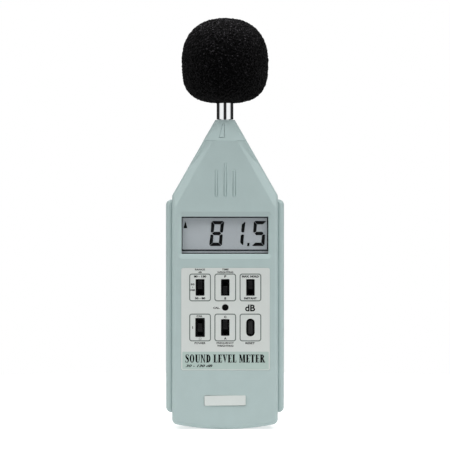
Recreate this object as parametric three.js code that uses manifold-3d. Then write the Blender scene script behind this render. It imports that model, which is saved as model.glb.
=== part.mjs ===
// Hand-held sound level meter: a two-part moulded casing with a tapered nose, a microphone
// barrel under a foam windscreen ball, a liquid crystal display, five slide switches, a reset
// button, a calibration trimmer and a battery compartment in the back.
// Millimetres. +Z runs up along the microphone axis, the front faces -Y and +X is to the right.
// The origin is at the middle of the casing's bottom edge.

import * as THREE from 'three';
import * as BufferGeometryUtils from 'three/addons/utils/BufferGeometryUtils.js';
import Module from 'manifold-3d';

const wasm = await Module();
wasm.setup();

// ---------------------------------------------------------------- driving dimensions

const gap = 0.3; // clearance between two pieces that rest on each other
const wall = 2.2; // casing wall
const reach = 40; // how far a cutting tool runs past what it cuts

const body = {
  halfWidth: 30.6,
  halfDepth: 12.5,
  shoulderZ: 135.2, // where the sides turn into the slopes
  shoulderRadius: 3,
  cornerRadius: 3.6, // lower corners, seen from the front
  bottomRise: 2.5, // how much higher the bottom edge's ends are than its middle
  edgeRadius: 2.6, // rounding of the front and back edges
};
const nose = {
  topZ: 179,
  halfWidth: 5.6,
  halfDepth: 7,
  creaseZ: 166.7, // where the front face starts to fall back to the nose
};
const slopeBevel = { width: 5, drop: 2.6 }; // bevel along the front and back edge of each slope
const rail = { halfWidth: 34.2, innerX: 29, halfDepth: 8, bottomZ: 9.3, topZ: 132.9, radius: 3.2 };
const frontRibs = {
  spacing: 5.15,
  width: 1.9,
  rise: 0.5,
  bottomZ: 134.5,
  sideTopZ: 150.1,
  middleTopZ: 154.2,
};
const noseWedge = { leftX: -3.1, rightX: 0, topZ: 176, rise: 0.35 }; // small raised mark on the nose

const display = {
  centreZ: 112.25,
  width: 50.1,
  height: 21.5,
  bevelWidth: 54.4,
  bevelHeight: 27.6,
  bevelDepth: 1.2,
  windowWidth: 53.5,
  windowHeight: 25,
  windowThickness: 1,
  panelWidth: 53.3,
  panelHeight: 26.3,
  panelThickness: 2.2,
  holderWall: 1.1,
  stripWidth: 50,
  stripHeight: 2.2,
};

const label = { width: 51.3, height: 58.9, centreZ: 63.85, radius: 1.2, thickness: 0.4, recess: 0.7 };
const plate = {
  width: 23.9,
  height: 5.8,
  centreZ: 16.75,
  radius: 0.5,
  thickness: 0.6,
  recess: 0.5,
  proud: 0.4,
};

const columns = [-14.4, 0.15, 14.7]; // x of the three columns of control fields
const rows = { upper: 82.15, lower: 59 }; // z of the two rows of control fields
const knob = { width: 2.4, length: 4.4, play: 0.25 };
const slideSwitches = [
  { name: 'range', x: columns[0], z: rows.upper, slot: [5, 9.5], rest: 1.55 },
  { name: 'time_weighting', x: columns[1], z: rows.upper, slot: [4.8, 9.5], rest: -1.55 },
  { name: 'max_hold', x: columns[2], z: rows.upper, slot: [4.8, 9.5], rest: 1.55 },
  { name: 'power', x: columns[0], z: rows.lower, slot: [5.4, 10.9], rest: 0 },
  { name: 'frequency_weighting', x: columns[1], z: rows.lower, slot: [4.8, 9.5], rest: 1.55 },
];
const slideTravel = { two: 3.1, three: 4.2 }; // whole travel of a two and a three position slider
const reset = { x: columns[2], z: rows.lower, slot: [4.8, 10.1], capWidth: 2.6, capLength: 7.4 };
const trimmer = { x: 0.15, z: 70.6, holeRadius: 1.9, bodySize: 6.6, rotorRadius: 1.6 };

const board = {
  frontY: -3,
  backY: -1.4,
  halfWidth: 27.5,
  bottomZ: 37.5,
  sideTopZ: 132,
  topZ: 160,
  topHalfWidth: 10.5,
};
const boardScrews = [[-24.5, 94], [24.5, 94], [-12, 141], [12, 141]];
const casingScrews = [[-22, 42.5], [22, 42.5], [-21, 131.5], [21, 131.5]];
const casingScrew = {
  radius: 1.25,
  headRadius: 2.7,
  headHeight: 1.8,
  seatY: 9,
  tipY: -7,
  bossRadius: 3.2,
};
const boardScrew = { radius: 0.8, headRadius: 1.7, headHeight: 1.2, tipY: -8, postRadius: 2.2 };

const barrel = {
  radius: 4.85,
  tailRadius: 3.4,
  boreRadius: 2,
  tailZ: 163.5,
  flangeZ: 170,
  flangeTopZ: 172,
  flangeRadius: 5.6,
  shoulderZ: nose.topZ + gap,
  topZ: 209,
  seatZ: 203, // floor of the pocket that holds the capsule
  seatRadius: 4.2,
};
const cradleZ = [165.8, barrel.flangeZ - gap]; // rib of the casing under the barrel's flange
const cavityTopZ = barrel.flangeTopZ + gap;
const capsule = { radius: 3.9, bottomZ: 203.3, topZ: 208.5 };
const grille = { radius: 4.85, bottomZ: barrel.topZ + gap, topZ: 211.6, slotWidth: 0.9, slotPitch: 1.8 };
const windscreen = {
  radius: 25.4,
  halfHeight: 25.8,
  centreZ: 212.6,
  bottomZ: 188.7,
  exponent: 2.3, // 2 is an ellipse; a little more makes the ball fuller
  boreRadius: barrel.radius + gap,
  boreTopZ: 212.6,
};

const battery = { length: 45.5, height: 26.5, depth: 17.5, leftX: -25.6, bottomZ: 6.5, frontY: -8.6 };
const terminal = { height: 2.6, radii: [2.9, 3.6], spacing: 12.7 };
const snap = { thickness: 2, height: 24, depth: 11.5, radius: 3 };
const opening = { halfWidth: 26.2, bottomZ: 6.2, topZ: 33.4 }; // battery opening in the back wall
const cover = {
  thickness: 2,
  tongueThickness: 0.9,
  tongueTopZ: 37.3,
  tabX: 18,
  tabWidth: 6,
  tabThickness: 0.8,
};
const divider = { bottomZ: 34.5, topZ: 36.1 };
const tripod = { z: 75, outerRadius: 4.6, innerRadius: 3.2, innerY: 4.7, outerY: 12.3, bossRadius: 7.2 };

const converterChip = { width: 52, height: 13.8, depth: 4, z: 104 };
const amplifierChip = { width: 9.8, height: 6.4, depth: 3.4, z: 122, xs: [-14, 0, 14] };
const capacitor = { radius: 3.15, depth: 9, places: [[-15, 84], [-15, 66], [15, 66]] };

// ---------------------------------------------------------------- directions and finishes

const X = new THREE.Vector3(1, 0, 0);
const Y = new THREE.Vector3(0, 1, 0);
const Z = new THREE.Vector3(0, 0, 1);

function finish(color, roughness, metalness) {
  return () => new THREE.MeshStandardMaterial({ color, roughness, metalness });
}

const casingPlastic = finish(0xaec0be, 0.5, 0);
const labelPlastic = finish(0xcdd1ce, 0.45, 0);
const blackPlastic = finish(0x141414, 0.4, 0);
const clearPlastic = finish(0xdfe6e4, 0.08, 0);
const lcdGlass = finish(0x9ba0a3, 0.25, 0);
const chrome = finish(0xe6e8ea, 0.08, 1);
const steel = finish(0xb4b7ba, 0.3, 1);
const brass = finish(0xc09a4e, 0.3, 1);
const foam = finish(0x0c0c0c, 0.95, 0);
const rubber = finish(0x5a5c5e, 0.8, 0);
const boardLaminate = finish(0x2e6b3c, 0.5, 0);
const batteryCan = finish(0x3a3d42, 0.35, 0.6);
const capacitorSleeve = finish(0x1d2740, 0.4, 0);
const redInsulation = finish(0xb02020, 0.5, 0);
const greyInsulation = finish(0x6d7072, 0.5, 0);
const trimmerPlastic = finish(0x3a3c3e, 0.5, 0);

// ---------------------------------------------------------------- geometry helpers

// A closed geometry as a solid for joining and cutting.
function solid(geometry) {
  const plain = geometry.clone();
  plain.deleteAttribute('normal');
  plain.deleteAttribute('uv');
  const merged = BufferGeometryUtils.mergeVertices(plain, 1e-4);
  return new wasm.Manifold(new wasm.Mesh({
    numProp: 3,
    vertProperties: new Float32Array(merged.attributes.position.array),
    triVerts: new Uint32Array(merged.index.array),
  }));
}

function geometryOf(manifold) {
  const mesh = manifold.getMesh();
  const geometry = new THREE.BufferGeometry();
  geometry.setAttribute('position', new THREE.BufferAttribute(mesh.vertProperties, 3));
  geometry.setIndex(new THREE.BufferAttribute(mesh.triVerts, 1));
  geometry.computeVertexNormals();
  return geometry;
}

function join(first, ...others) {
  return others.reduce((whole, other) => whole.add(other), first);
}

function cut(first, ...others) {
  return others.reduce((whole, other) => whole.subtract(other), first);
}

// A shape drawn along u and v, extruded along w = u x v between two distances from the origin.
function extruded(shape, u, v, from, to, origin, options = {}) {
  const depth = to - from;
  const geometry = new THREE.ExtrudeGeometry(shape, { depth, bevelEnabled: false, curveSegments: 2, ...options });
  geometry.translate(0, 0, from);
  const w = new THREE.Vector3().crossVectors(u, v);
  geometry.applyMatrix4(new THREE.Matrix4().makeBasis(u, v, w));
  geometry.translate(origin.x, origin.y, origin.z);
  return geometry;
}

// A shape drawn in x and z, extruded between two y values.
function alongY(shape, yFrom, yTo, x = 0, z = 0, options = {}) {
  return extruded(shape, X, Z, -yTo, -yFrom, new THREE.Vector3(x, 0, z), options);
}

// The same with its end edges rounded: the rounding lies inside the given outline and length.
function roundedAlongY(shape, yFrom, yTo, radius, x = 0, z = 0) {
  const options = {
    bevelEnabled: true,
    bevelThickness: radius,
    bevelSize: radius,
    bevelOffset: -radius,
    bevelSegments: 3,
    curveSegments: 6,
  };
  return alongY(shape, yFrom + radius, yTo - radius, x, z, options);
}

function box(width, depth, height, x, y, z) {
  return new THREE.BoxGeometry(width, depth, height).translate(x, y, z);
}

// A box given by its two corners.
function boxBetween(low, high) {
  const size = high.map((value, axis) => value - low[axis]);
  const middle = high.map((value, axis) => (value + low[axis]) / 2);
  return box(...size, ...middle);
}

function cylinderY(radius, yFrom, yTo, x, z, sides = 16) {
  const geometry = new THREE.CylinderGeometry(radius, radius, yTo - yFrom, sides);
  return geometry.translate(x, (yFrom + yTo) / 2, z);
}

function cylinderZ(radius, zFrom, zTo, sides = 24) {
  const geometry = new THREE.CylinderGeometry(radius, radius, zTo - zFrom, sides);
  return geometry.rotateX(Math.PI / 2).translate(0, 0, (zFrom + zTo) / 2);
}

// A turned piece around the Z axis. The profile is a list of [radius, z], closed by its last point.
function turned(profile, sides) {
  const points = profile.map(([radius, z]) => new THREE.Vector2(radius, z));
  return new THREE.LatheGeometry(points, sides).rotateX(Math.PI / 2);
}

function roundedRectangle(width, height, radius) {
  const shape = new THREE.Shape();
  const [w, h] = [width / 2, height / 2];
  shape.moveTo(-w + radius, -h);
  shape.lineTo(w - radius, -h);
  shape.absarc(w - radius, -h + radius, radius, -Math.PI / 2, 0, false);
  shape.lineTo(w, h - radius);
  shape.absarc(w - radius, h - radius, radius, 0, Math.PI / 2, false);
  shape.lineTo(-w + radius, h);
  shape.absarc(-w + radius, h - radius, radius, Math.PI / 2, Math.PI, false);
  shape.lineTo(-w, -h + radius);
  shape.absarc(-w + radius, -h + radius, radius, Math.PI, Math.PI * 1.5, false);
  return shape;
}

// A rectangular funnel that narrows from its front to its back.
function funnel(frontSize, backSize, yFront, yBack, x, z) {
  const geometry = new THREE.BoxGeometry(1, yBack - yFront, 1);
  const position = geometry.attributes.position;
  for (let i = 0; i < position.count; i += 1) {
    const size = position.getY(i) < 0 ? frontSize : backSize;
    position.setX(i, position.getX(i) * size[0]);
    position.setZ(i, position.getZ(i) * size[1]);
  }
  return geometry.translate(x, (yFront + yBack) / 2, z);
}

// A round wire or lead along a smooth route.
function wire(points, radius, steps) {
  const route = new THREE.CatmullRomCurve3(points.map((point) => new THREE.Vector3(...point)));
  const section = new THREE.Shape();
  section.absarc(0, 0, radius, 0, Math.PI * 2, false);
  const geometry = new THREE.ExtrudeGeometry(section, { steps, curveSegments: 4, extrudePath: route });
  return geometryOf(solid(geometry));
}

// ---------------------------------------------------------------- the casing's outer form

const slope = {
  run: body.halfWidth - nose.halfWidth,
  rise: nose.topZ - body.shoulderZ,
};
slope.length = Math.hypot(slope.run, slope.rise);

function slopeHalfWidth(z, inset) {
  return nose.halfWidth + (nose.topZ - z) * slope.run / slope.rise - inset * slope.length / slope.rise;
}

// Front view of the casing, moved inwards by an inset and ending at topZ.
function casingOutline(inset, topZ) {
  const side = body.halfWidth - inset;
  const overhang = side - slopeHalfWidth(body.shoulderZ, inset);
  const shoulderZ = body.shoulderZ - overhang * slope.rise / slope.run;
  const radius = body.shoulderRadius;
  const cornerX = side - body.cornerRadius;
  const cornerZ = body.bottomRise + inset;
  const turnX = side - radius * slope.run / slope.length;
  const turnZ = shoulderZ + radius * slope.rise / slope.length;
  const shape = new THREE.Shape();
  shape.moveTo(-cornerX, cornerZ);
  shape.quadraticCurveTo(0, inset - body.bottomRise, cornerX, cornerZ);
  shape.quadraticCurveTo(side, cornerZ + 0.5, side, cornerZ + body.cornerRadius);
  shape.lineTo(side, shoulderZ - radius);
  shape.quadraticCurveTo(side, shoulderZ, turnX, turnZ);
  shape.lineTo(slopeHalfWidth(topZ, inset), topZ);
  shape.lineTo(-slopeHalfWidth(topZ, inset), topZ);
  shape.lineTo(-turnX, turnZ);
  shape.quadraticCurveTo(-side, shoulderZ, -side, shoulderZ - radius);
  shape.lineTo(-side, cornerZ + body.cornerRadius);
  shape.quadraticCurveTo(-side, cornerZ + 0.5, -cornerX, cornerZ);
  return shape;
}

// A cutting wedge whose face passes through two points of the (u, v) plane, moved inwards by an
// inset; everything on the outer side of that face is taken away.
function wedge(from, to, inset, u, v, origin) {
  const direction = new THREE.Vector2(to[0] - from[0], to[1] - from[1]).normalize();
  const inward = new THREE.Vector2(direction.y, -direction.x);
  if (inward.x + inward.y > 0) {
    inward.negate();
  }
  const onLine = new THREE.Vector2(...from).addScaledVector(inward, inset);
  const start = onLine.clone().addScaledVector(direction, -reach);
  const end = onLine.clone().addScaledVector(direction, reach);
  const outside = new THREE.Vector2().copy(inward).multiplyScalar(-reach);
  const shape = new THREE.Shape([start, end, end.clone().add(outside), start.clone().add(outside)]);
  return solid(extruded(shape, u, v, -reach * 3, reach * 3, origin));
}

// The bevel along the slope on one side (+1 right, -1 left) of one face (-1 front, +1 back).
function slopeWedge(side, face, inset) {
  const normal = new THREE.Vector3(side * slope.rise, 0, slope.run).divideScalar(slope.length);
  const depth = new THREE.Vector3(0, face, 0);
  const origin = new THREE.Vector3(side * nose.halfWidth, 0, nose.topZ);
  const onFace = [-slopeBevel.width, body.halfDepth];
  const onSlope = [0, body.halfDepth - slopeBevel.drop];
  return wedge(onFace, onSlope, inset, normal, depth, origin);
}

// The plane that lets the front or back face fall back to the nose's top.
function noseCut(face, inset) {
  const depth = new THREE.Vector3(0, face, 0);
  const origin = new THREE.Vector3(0, 0, 0);
  return wedge([body.halfDepth, nose.creaseZ], [nose.halfDepth, nose.topZ], inset, depth, Z, origin);
}

function casingSolid(inset, topZ) {
  const halfDepth = body.halfDepth - inset;
  const radius = Math.max(body.edgeRadius - inset, 0.4);
  const block = solid(roundedAlongY(casingOutline(inset, topZ + radius), -halfDepth, halfDepth, radius));
  const top = solid(boxBetween([-reach, -reach, topZ], [reach, reach, topZ + reach]));
  const faces = [-1, 1];
  const bevels = faces.flatMap((face) => [
    slopeWedge(-1, face, inset),
    slopeWedge(1, face, inset),
    noseCut(face, inset),
  ]);
  return cut(block, top, ...bevels);
}

function gripRail(side) {
  const width = rail.halfWidth - rail.innerX;
  const shape = new THREE.Shape();
  const height = rail.topZ - rail.bottomZ;
  shape.moveTo(0, 0);
  shape.lineTo(width - rail.radius, 0);
  shape.absarc(width - rail.radius, rail.radius, rail.radius, -Math.PI / 2, 0, false);
  shape.lineTo(width, height - rail.radius);
  shape.absarc(width - rail.radius, height - rail.radius, rail.radius, 0, Math.PI / 2, false);
  shape.lineTo(0, height);
  const geometry = alongY(shape, -rail.halfDepth, rail.halfDepth, rail.innerX, rail.bottomZ);
  if (side < 0) {
    geometry.rotateZ(Math.PI);
  }
  return solid(geometry);
}

const outerForm = join(casingSolid(0, nose.topZ), gripRail(-1), gripRail(1));
const cavity = casingSolid(wall, cavityTopZ);
const innerForm = casingSolid(wall / 2, nose.topZ - wall / 2); // trims ribs and bosses to the wall

// The half of a solid on one face's side of the parting plane.
function halfOf(whole, face) {
  const [low, high] = face < 0 ? [-reach, -gap / 2] : [gap / 2, reach];
  return whole.intersect(solid(boxBetween([-reach * 2, low, -reach], [reach * 2, high, nose.topZ + reach])));
}

// What both halves hold: the rib under the barrel's flange and the wall above the battery.
function sharedRibs() {
  const cradle = solid(boxBetween([-reach, -reach, cradleZ[0]], [reach, reach, cradleZ[1]]));
  const leadNotch = solid(boxBetween([24.6, -reach, divider.bottomZ - 1], [28.2, reach, divider.topZ + 1]));
  const batteryWall = solid(boxBetween([-reach, -reach, divider.bottomZ], [reach, reach, divider.topZ]));
  return join(cradle, cut(batteryWall, leadNotch)).intersect(innerForm);
}

const barrelBore = solid(cylinderZ(barrel.tailRadius + gap, cradleZ[0] - 1, nose.topZ + 1));

// ---------------------------------------------------------------- casing halves

function frontRib(index) {
  const top = index === 0 ? frontRibs.middleTopZ : frontRibs.sideTopZ;
  const height = top - frontRibs.bottomZ;
  const shape = roundedRectangle(frontRibs.width, height, frontRibs.width / 2 - 0.05);
  const y = -body.halfDepth;
  const centreZ = frontRibs.bottomZ + height / 2;
  return solid(alongY(shape, y - frontRibs.rise, y + 1, index * frontRibs.spacing + 0.15, centreZ));
}

// A thin triangular mark that stands on the sloping nose facet.
function noseMark() {
  const shape = new THREE.Shape();
  const bottomZ = nose.creaseZ + 0.6;
  shape.moveTo(noseWedge.leftX, bottomZ);
  shape.lineTo(noseWedge.rightX, bottomZ);
  shape.lineTo(noseWedge.rightX, noseWedge.topZ);
  shape.lineTo(noseWedge.rightX - 1.2, noseWedge.topZ);
  const column = solid(alongY(shape, -body.halfDepth, -nose.halfDepth));
  return cut(column, noseCut(-1, -noseWedge.rise));
}

function controlHoles(margin, yFrom, yTo) {
  const slots = slideSwitches.map(({ x, z, slot }) => {
    const shape = roundedRectangle(slot[0] + margin, slot[1] + margin, 0.4);
    return solid(alongY(shape, yFrom, yTo, x, z));
  });
  const [width, height] = reset.slot;
  const resetShape = roundedRectangle(width + margin, height + margin, width / 2 - 0.1);
  const resetHole = solid(alongY(resetShape, yFrom, yTo, reset.x, reset.z));
  const trimmerHole = solid(cylinderY(trimmer.holeRadius, yFrom, yTo, trimmer.x, trimmer.z));
  return [...slots, resetHole, trimmerHole];
}

function makeFrontCasing() {
  const inside = -body.halfDepth + 1; // ribs and posts start inside the front wall
  const bosses = casingScrews.map(([x, z]) => solid(cylinderY(casingScrew.bossRadius, inside, -gap / 2, x, z)));
  const posts = boardScrews.map(([x, z]) => {
    return solid(cylinderY(boardScrew.postRadius, inside, board.frontY - gap, x, z, 14));
  });
  const batteryRibs = [12, 26].map((z) => {
    return solid(boxBetween([-22, inside, z], [22, battery.frontY - gap, z + 1.6]));
  });
  const pilots = casingScrews.map(([x, z]) => {
    return solid(cylinderY(casingScrew.radius + gap, casingScrew.tipY - 1, 0, x, z));
  });
  const boardPilots = boardScrews.map(([x, z]) => {
    return solid(cylinderY(boardScrew.radius + gap, boardScrew.tipY - 1, board.frontY, x, z, 12));
  });
  const window = solid(box(display.width, reach, display.height, 0, -reach / 2 - 8, display.centreZ));
  const bevelFront = -body.halfDepth - 0.1;
  const bevelBack = -body.halfDepth + display.bevelDepth;
  const bevelSize = [display.bevelWidth, display.bevelHeight];
  const bevel = solid(funnel(bevelSize, [display.width, display.height], bevelFront, bevelBack, 0, display.centreZ));
  const labelShape = roundedRectangle(label.width + 2 * gap, label.height + 2 * gap, label.radius + gap);
  const labelFloor = -body.halfDepth + label.recess;
  const labelRecess = solid(alongY(labelShape, -body.halfDepth - 1, labelFloor, 0, label.centreZ));
  const plateShape = roundedRectangle(plate.width + 2 * gap, plate.height + 2 * gap, plate.radius + gap);
  const plateFloor = -body.halfDepth + plate.recess;
  const plateRecess = solid(alongY(plateShape, -body.halfDepth - 1, plateFloor, 0, plate.centreZ));
  const marks = [frontRib(-1), frontRib(0), frontRib(1), noseMark()];
  const shell = halfOf(join(cut(outerForm, cavity), sharedRibs()), -1);
  const filled = join(shell, ...bosses, ...posts, ...batteryRibs, ...marks);
  const holes = controlHoles(2 * gap, -body.halfDepth - 1, -9);
  return cut(filled, window, bevel, labelRecess, plateRecess, ...holes, ...pilots, ...boardPilots, barrelBore);
}

function makeRearCasing() {
  const inside = body.halfDepth - 1;
  const bosses = casingScrews.map(([x, z]) => solid(cylinderY(casingScrew.bossRadius, gap / 2, inside, x, z)));
  const tripodBoss = solid(cylinderY(tripod.bossRadius, 3.2, inside, 0, tripod.z, 20));
  const shafts = casingScrews.map(([x, z]) => solid(cylinderY(casingScrew.radius + gap, -1, reach, x, z)));
  const headHoles = casingScrews.map(([x, z]) => {
    return solid(cylinderY(casingScrew.headRadius + gap, casingScrew.seatY, reach, x, z));
  });
  const insertHole = solid(cylinderY(tripod.outerRadius + gap, tripod.innerY - gap, reach, 0, tripod.z, 24));
  const batteryHole = solid(boxBetween(
    [-opening.halfWidth, 1, opening.bottomZ],
    [opening.halfWidth, reach, opening.topZ],
  ));
  const ledgeY = body.halfDepth - cover.tongueThickness - gap;
  const tongueRebate = solid(boxBetween(
    [-opening.halfWidth, ledgeY, opening.topZ - 1],
    [opening.halfWidth, reach, cover.tongueTopZ + gap],
  ));
  const fingerNotch = solid(alongY(roundedRectangle(14, 8, 3.5), ledgeY, reach, 0, cover.tongueTopZ));
  const shell = halfOf(join(cut(outerForm, cavity), sharedRibs()), 1);
  const filled = join(shell, ...bosses, tripodBoss);
  const holes = [insertHole, batteryHole, tongueRebate, fingerNotch, barrelBore];
  return cut(filled, ...shafts, ...headHoles, ...holes);
}

// A plate in the battery opening, with a thin tongue above it and two tabs that tuck in below it.
function makeBatteryCover() {
  const outerY = body.halfDepth;
  const innerY = outerY - cover.thickness;
  const halfWidth = opening.halfWidth - gap;
  const bottomZ = opening.bottomZ + gap;
  const plateBody = solid(boxBetween([-halfWidth, innerY, bottomZ], [halfWidth, outerY, opening.topZ - gap]));
  const tongue = solid(boxBetween(
    [-halfWidth, outerY - cover.tongueThickness, opening.topZ - gap - 1],
    [halfWidth, outerY, cover.tongueTopZ],
  ));
  const tabs = [-cover.tabX, cover.tabX].flatMap((x) => {
    const [left, right] = [x - cover.tabWidth / 2, x + cover.tabWidth / 2];
    const hookOuterY = body.halfDepth - wall - gap;
    const hookInnerY = hookOuterY - cover.tabThickness;
    const hook = boxBetween([left, hookInnerY, bottomZ - 2], [right, hookOuterY, bottomZ + 1.5]);
    const neck = boxBetween([left, hookInnerY, bottomZ], [right, innerY + 0.5, bottomZ + 1.5]);
    return [solid(hook), solid(neck)];
  });
  return join(plateBody, tongue, ...tabs);
}

// ---------------------------------------------------------------- small turned and flat pieces

// Two crossed cutting tools for the recess of a cross-head screw.
function crossRecess(yFrom, yTo, size) {
  const depth = yTo - yFrom;
  const middleY = (yFrom + yTo) / 2;
  return [
    solid(box(size, depth, size / 4, 0, middleY, 0)),
    solid(box(size / 4, depth, size, 0, middleY, 0)),
  ];
}

// A screw with its head's underside at y = 0 and its shaft running towards -Y.
function makeScrew(radius, length, headRadius, headHeight) {
  const shaft = solid(cylinderY(radius, -length, headHeight / 2, 0, 0, 10));
  const head = solid(cylinderY(headRadius, 0, headHeight, 0, 0, 14));
  return cut(join(shaft, head), ...crossRecess(headHeight * 0.45, headHeight + 1, headRadius * 1.2));
}

function makeLabel() {
  const shape = roundedRectangle(label.width, label.height, label.radius);
  const sheet = solid(alongY(shape, -body.halfDepth, -body.halfDepth + label.thickness, 0, label.centreZ));
  return cut(sheet, ...controlHoles(0.6, -body.halfDepth - 1, -body.halfDepth + 1));
}

function makeNamePlate() {
  const shape = roundedRectangle(plate.width, plate.height, plate.radius);
  const front = -body.halfDepth - plate.proud;
  return alongY(shape, front, front + plate.thickness, 0, plate.centreZ);
}

// ---------------------------------------------------------------- display

const windowY = -body.halfDepth + wall + gap; // front of the clear window
const panelY = windowY + display.windowThickness + gap; // front of the display panel
const holderY = [panelY, board.frontY - gap];

function makeDisplayHolder() {
  const width = display.panelWidth + 2 * gap;
  const height = display.panelHeight + 2 * gap;
  const [front, back] = holderY;
  const middle = (front + back) / 2;
  const outer = solid(box(width + 2 * display.holderWall, back - front, height + 2 * display.holderWall,
    0, middle, display.centreZ));
  return cut(outer, solid(box(width, reach, height, 0, middle, display.centreZ)));
}

// ---------------------------------------------------------------- circuit board

function makeBoard() {
  const shape = new THREE.Shape();
  shape.moveTo(-board.halfWidth, board.bottomZ);
  shape.lineTo(board.halfWidth, board.bottomZ);
  shape.lineTo(board.halfWidth, board.sideTopZ);
  shape.lineTo(board.topHalfWidth, board.topZ);
  shape.lineTo(-board.topHalfWidth, board.topZ);
  shape.lineTo(-board.halfWidth, board.sideTopZ);
  const sheet = solid(alongY(shape, board.frontY, board.backY));
  const bossHoles = casingScrews.map(([x, z]) => solid(cylinderY(casingScrew.bossRadius + 0.4, -5, 1, x, z)));
  const screwHoles = boardScrews.map(([x, z]) => solid(cylinderY(boardScrew.radius + gap, -5, 1, x, z, 12)));
  return cut(sheet, ...bossHoles, ...screwHoles);
}

// A moulded chip package that tapers away from the board, with a notch at one end.
function makeChip(width, height, depth) {
  const block = solid(funnel([width, height], [width - 0.8, height - 0.8], 0, depth, 0, 0));
  const notch = solid(cylinderY(0.9, depth - 0.6, depth + 1, -width / 2 + 0.4, 0, 12));
  return cut(block, notch);
}

function makeCapacitor() {
  const can = solid(cylinderY(capacitor.radius, 0, capacitor.depth, 0, 0));
  const vent = crossRecess(capacitor.depth - 0.3, capacitor.depth + 1, capacitor.radius);
  return cut(can, ...vent);
}

// ---------------------------------------------------------------- switches

const switchFoot = { width: 6.6, frontY: -7, floorY: -4.2 };
const bezelY = -body.halfDepth + 0.25;
const sliderFoot = { width: 4, length: 5.6, frontY: -6.7, backY: -5 };

function travelOf(slideSwitch) {
  return slideSwitch.rest === 0 ? slideTravel.three : slideTravel.two;
}

// The fixed part of a slide switch: a foot on the board and a bezel that fills the casing's slot.
function makeSwitchBody(slideSwitch) {
  const travel = travelOf(slideSwitch);
  const [slotWidth, slotHeight] = slideSwitch.slot;
  const footLength = sliderFoot.length + travel + 2.4;
  const back = board.frontY - gap;
  const footDepth = back - switchFoot.frontY;
  const foot = solid(box(switchFoot.width, footDepth, footLength, 0, switchFoot.frontY + footDepth / 2, 0));
  const bezel = solid(alongY(roundedRectangle(slotWidth, slotHeight, 0.3), bezelY, switchFoot.frontY + 1));
  const channelLength = knob.length + travel + 2 * knob.play;
  const channel = solid(box(knob.width + 2 * knob.play, reach, channelLength, 0, -reach / 2 - 6, 0));
  const pocketLength = sliderFoot.length + travel + 2 * knob.play;
  const pocketFront = sliderFoot.frontY - knob.play;
  const pocket = solid(boxBetween(
    [-sliderFoot.width / 2 - knob.play, pocketFront, -pocketLength / 2],
    [sliderFoot.width / 2 + knob.play, switchFoot.floorY, pocketLength / 2],
  ));
  return cut(join(foot, bezel), channel, pocket);
}

// The moving part: a ridged knob on a wider foot that can't come out through the channel.
function makeSlider() {
  const knobFront = -body.halfDepth + 0.1;
  const stem = solid(boxBetween(
    [-knob.width / 2, knobFront, -knob.length / 2],
    [knob.width / 2, sliderFoot.backY, knob.length / 2],
  ));
  const foot = solid(boxBetween(
    [-sliderFoot.width / 2, sliderFoot.frontY, -sliderFoot.length / 2],
    [sliderFoot.width / 2, sliderFoot.backY, sliderFoot.length / 2],
  ));
  const grooves = [-1.35, -0.45, 0.45, 1.35].map((z) => solid(box(5, 0.8, 0.4, 0, knobFront, z)));
  return cut(join(stem, foot), ...grooves);
}

const resetTravel = 0.8;
const resetFoot = { frontY: -8, backY: -6.6, rim: 0.8 };

function makeResetBody() {
  const [slotWidth, slotHeight] = reset.slot;
  const back = board.frontY - gap;
  const foot = solid(boxBetween([-4, -9.4, -5.6], [4, back, 5.6]));
  const bezel = solid(alongY(roundedRectangle(slotWidth, slotHeight, slotWidth / 2 - 0.1), bezelY, -9));
  const channelWidth = reset.capWidth + 2 * knob.play;
  const channel = solid(box(channelWidth, reach, reset.capLength + 2 * knob.play, 0, -reach / 2 - 8, 0));
  const pocket = solid(box(
    channelWidth + 2 * resetFoot.rim,
    resetFoot.backY - resetFoot.frontY + resetTravel + 2 * knob.play,
    reset.capLength + 2 * knob.play + 2 * resetFoot.rim,
    0,
    (resetFoot.frontY + resetFoot.backY + resetTravel) / 2,
    0,
  ));
  return cut(join(foot, bezel), channel, pocket);
}

function makeResetButton() {
  const front = -body.halfDepth - 0.15;
  const cap = solid(alongY(roundedRectangle(reset.capWidth, reset.capLength, 0.5), front, resetFoot.backY));
  const rim = solid(boxBetween(
    [-reset.capWidth / 2 - resetFoot.rim, resetFoot.frontY, -reset.capLength / 2 - resetFoot.rim],
    [reset.capWidth / 2 + resetFoot.rim, resetFoot.backY, reset.capLength / 2 + resetFoot.rim],
  ));
  return join(cap, rim);
}

function makeTrimmerBody() {
  const size = trimmer.bodySize / 2;
  const block = solid(boxBetween([-size, -7.5, -size], [size, board.frontY - gap, size]));
  return cut(block, solid(cylinderY(trimmer.rotorRadius + gap, -reach, -4.6, 0, 0)));
}

function makeTrimmerRotor() {
  const disc = solid(cylinderY(trimmer.rotorRadius, -8.8, -4.9, 0, 0));
  return cut(disc, solid(box(5, 1.4, 0.6, 0, -8.8, 0)));
}

// ---------------------------------------------------------------- microphone and windscreen

function makeBarrel() {
  return turned([
    [barrel.boreRadius, barrel.tailZ],
    [barrel.tailRadius, barrel.tailZ],
    [barrel.tailRadius, barrel.flangeZ],
    [barrel.flangeRadius, barrel.flangeZ],
    [barrel.flangeRadius, barrel.flangeTopZ],
    [barrel.tailRadius, barrel.flangeTopZ],
    [barrel.tailRadius, barrel.shoulderZ],
    [barrel.radius, barrel.shoulderZ],
    [barrel.radius, barrel.topZ],
    [barrel.seatRadius, barrel.topZ],
    [barrel.seatRadius, barrel.seatZ],
    [barrel.boreRadius, barrel.seatZ],
    [barrel.boreRadius, barrel.tailZ],
  ], 24);
}

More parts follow.
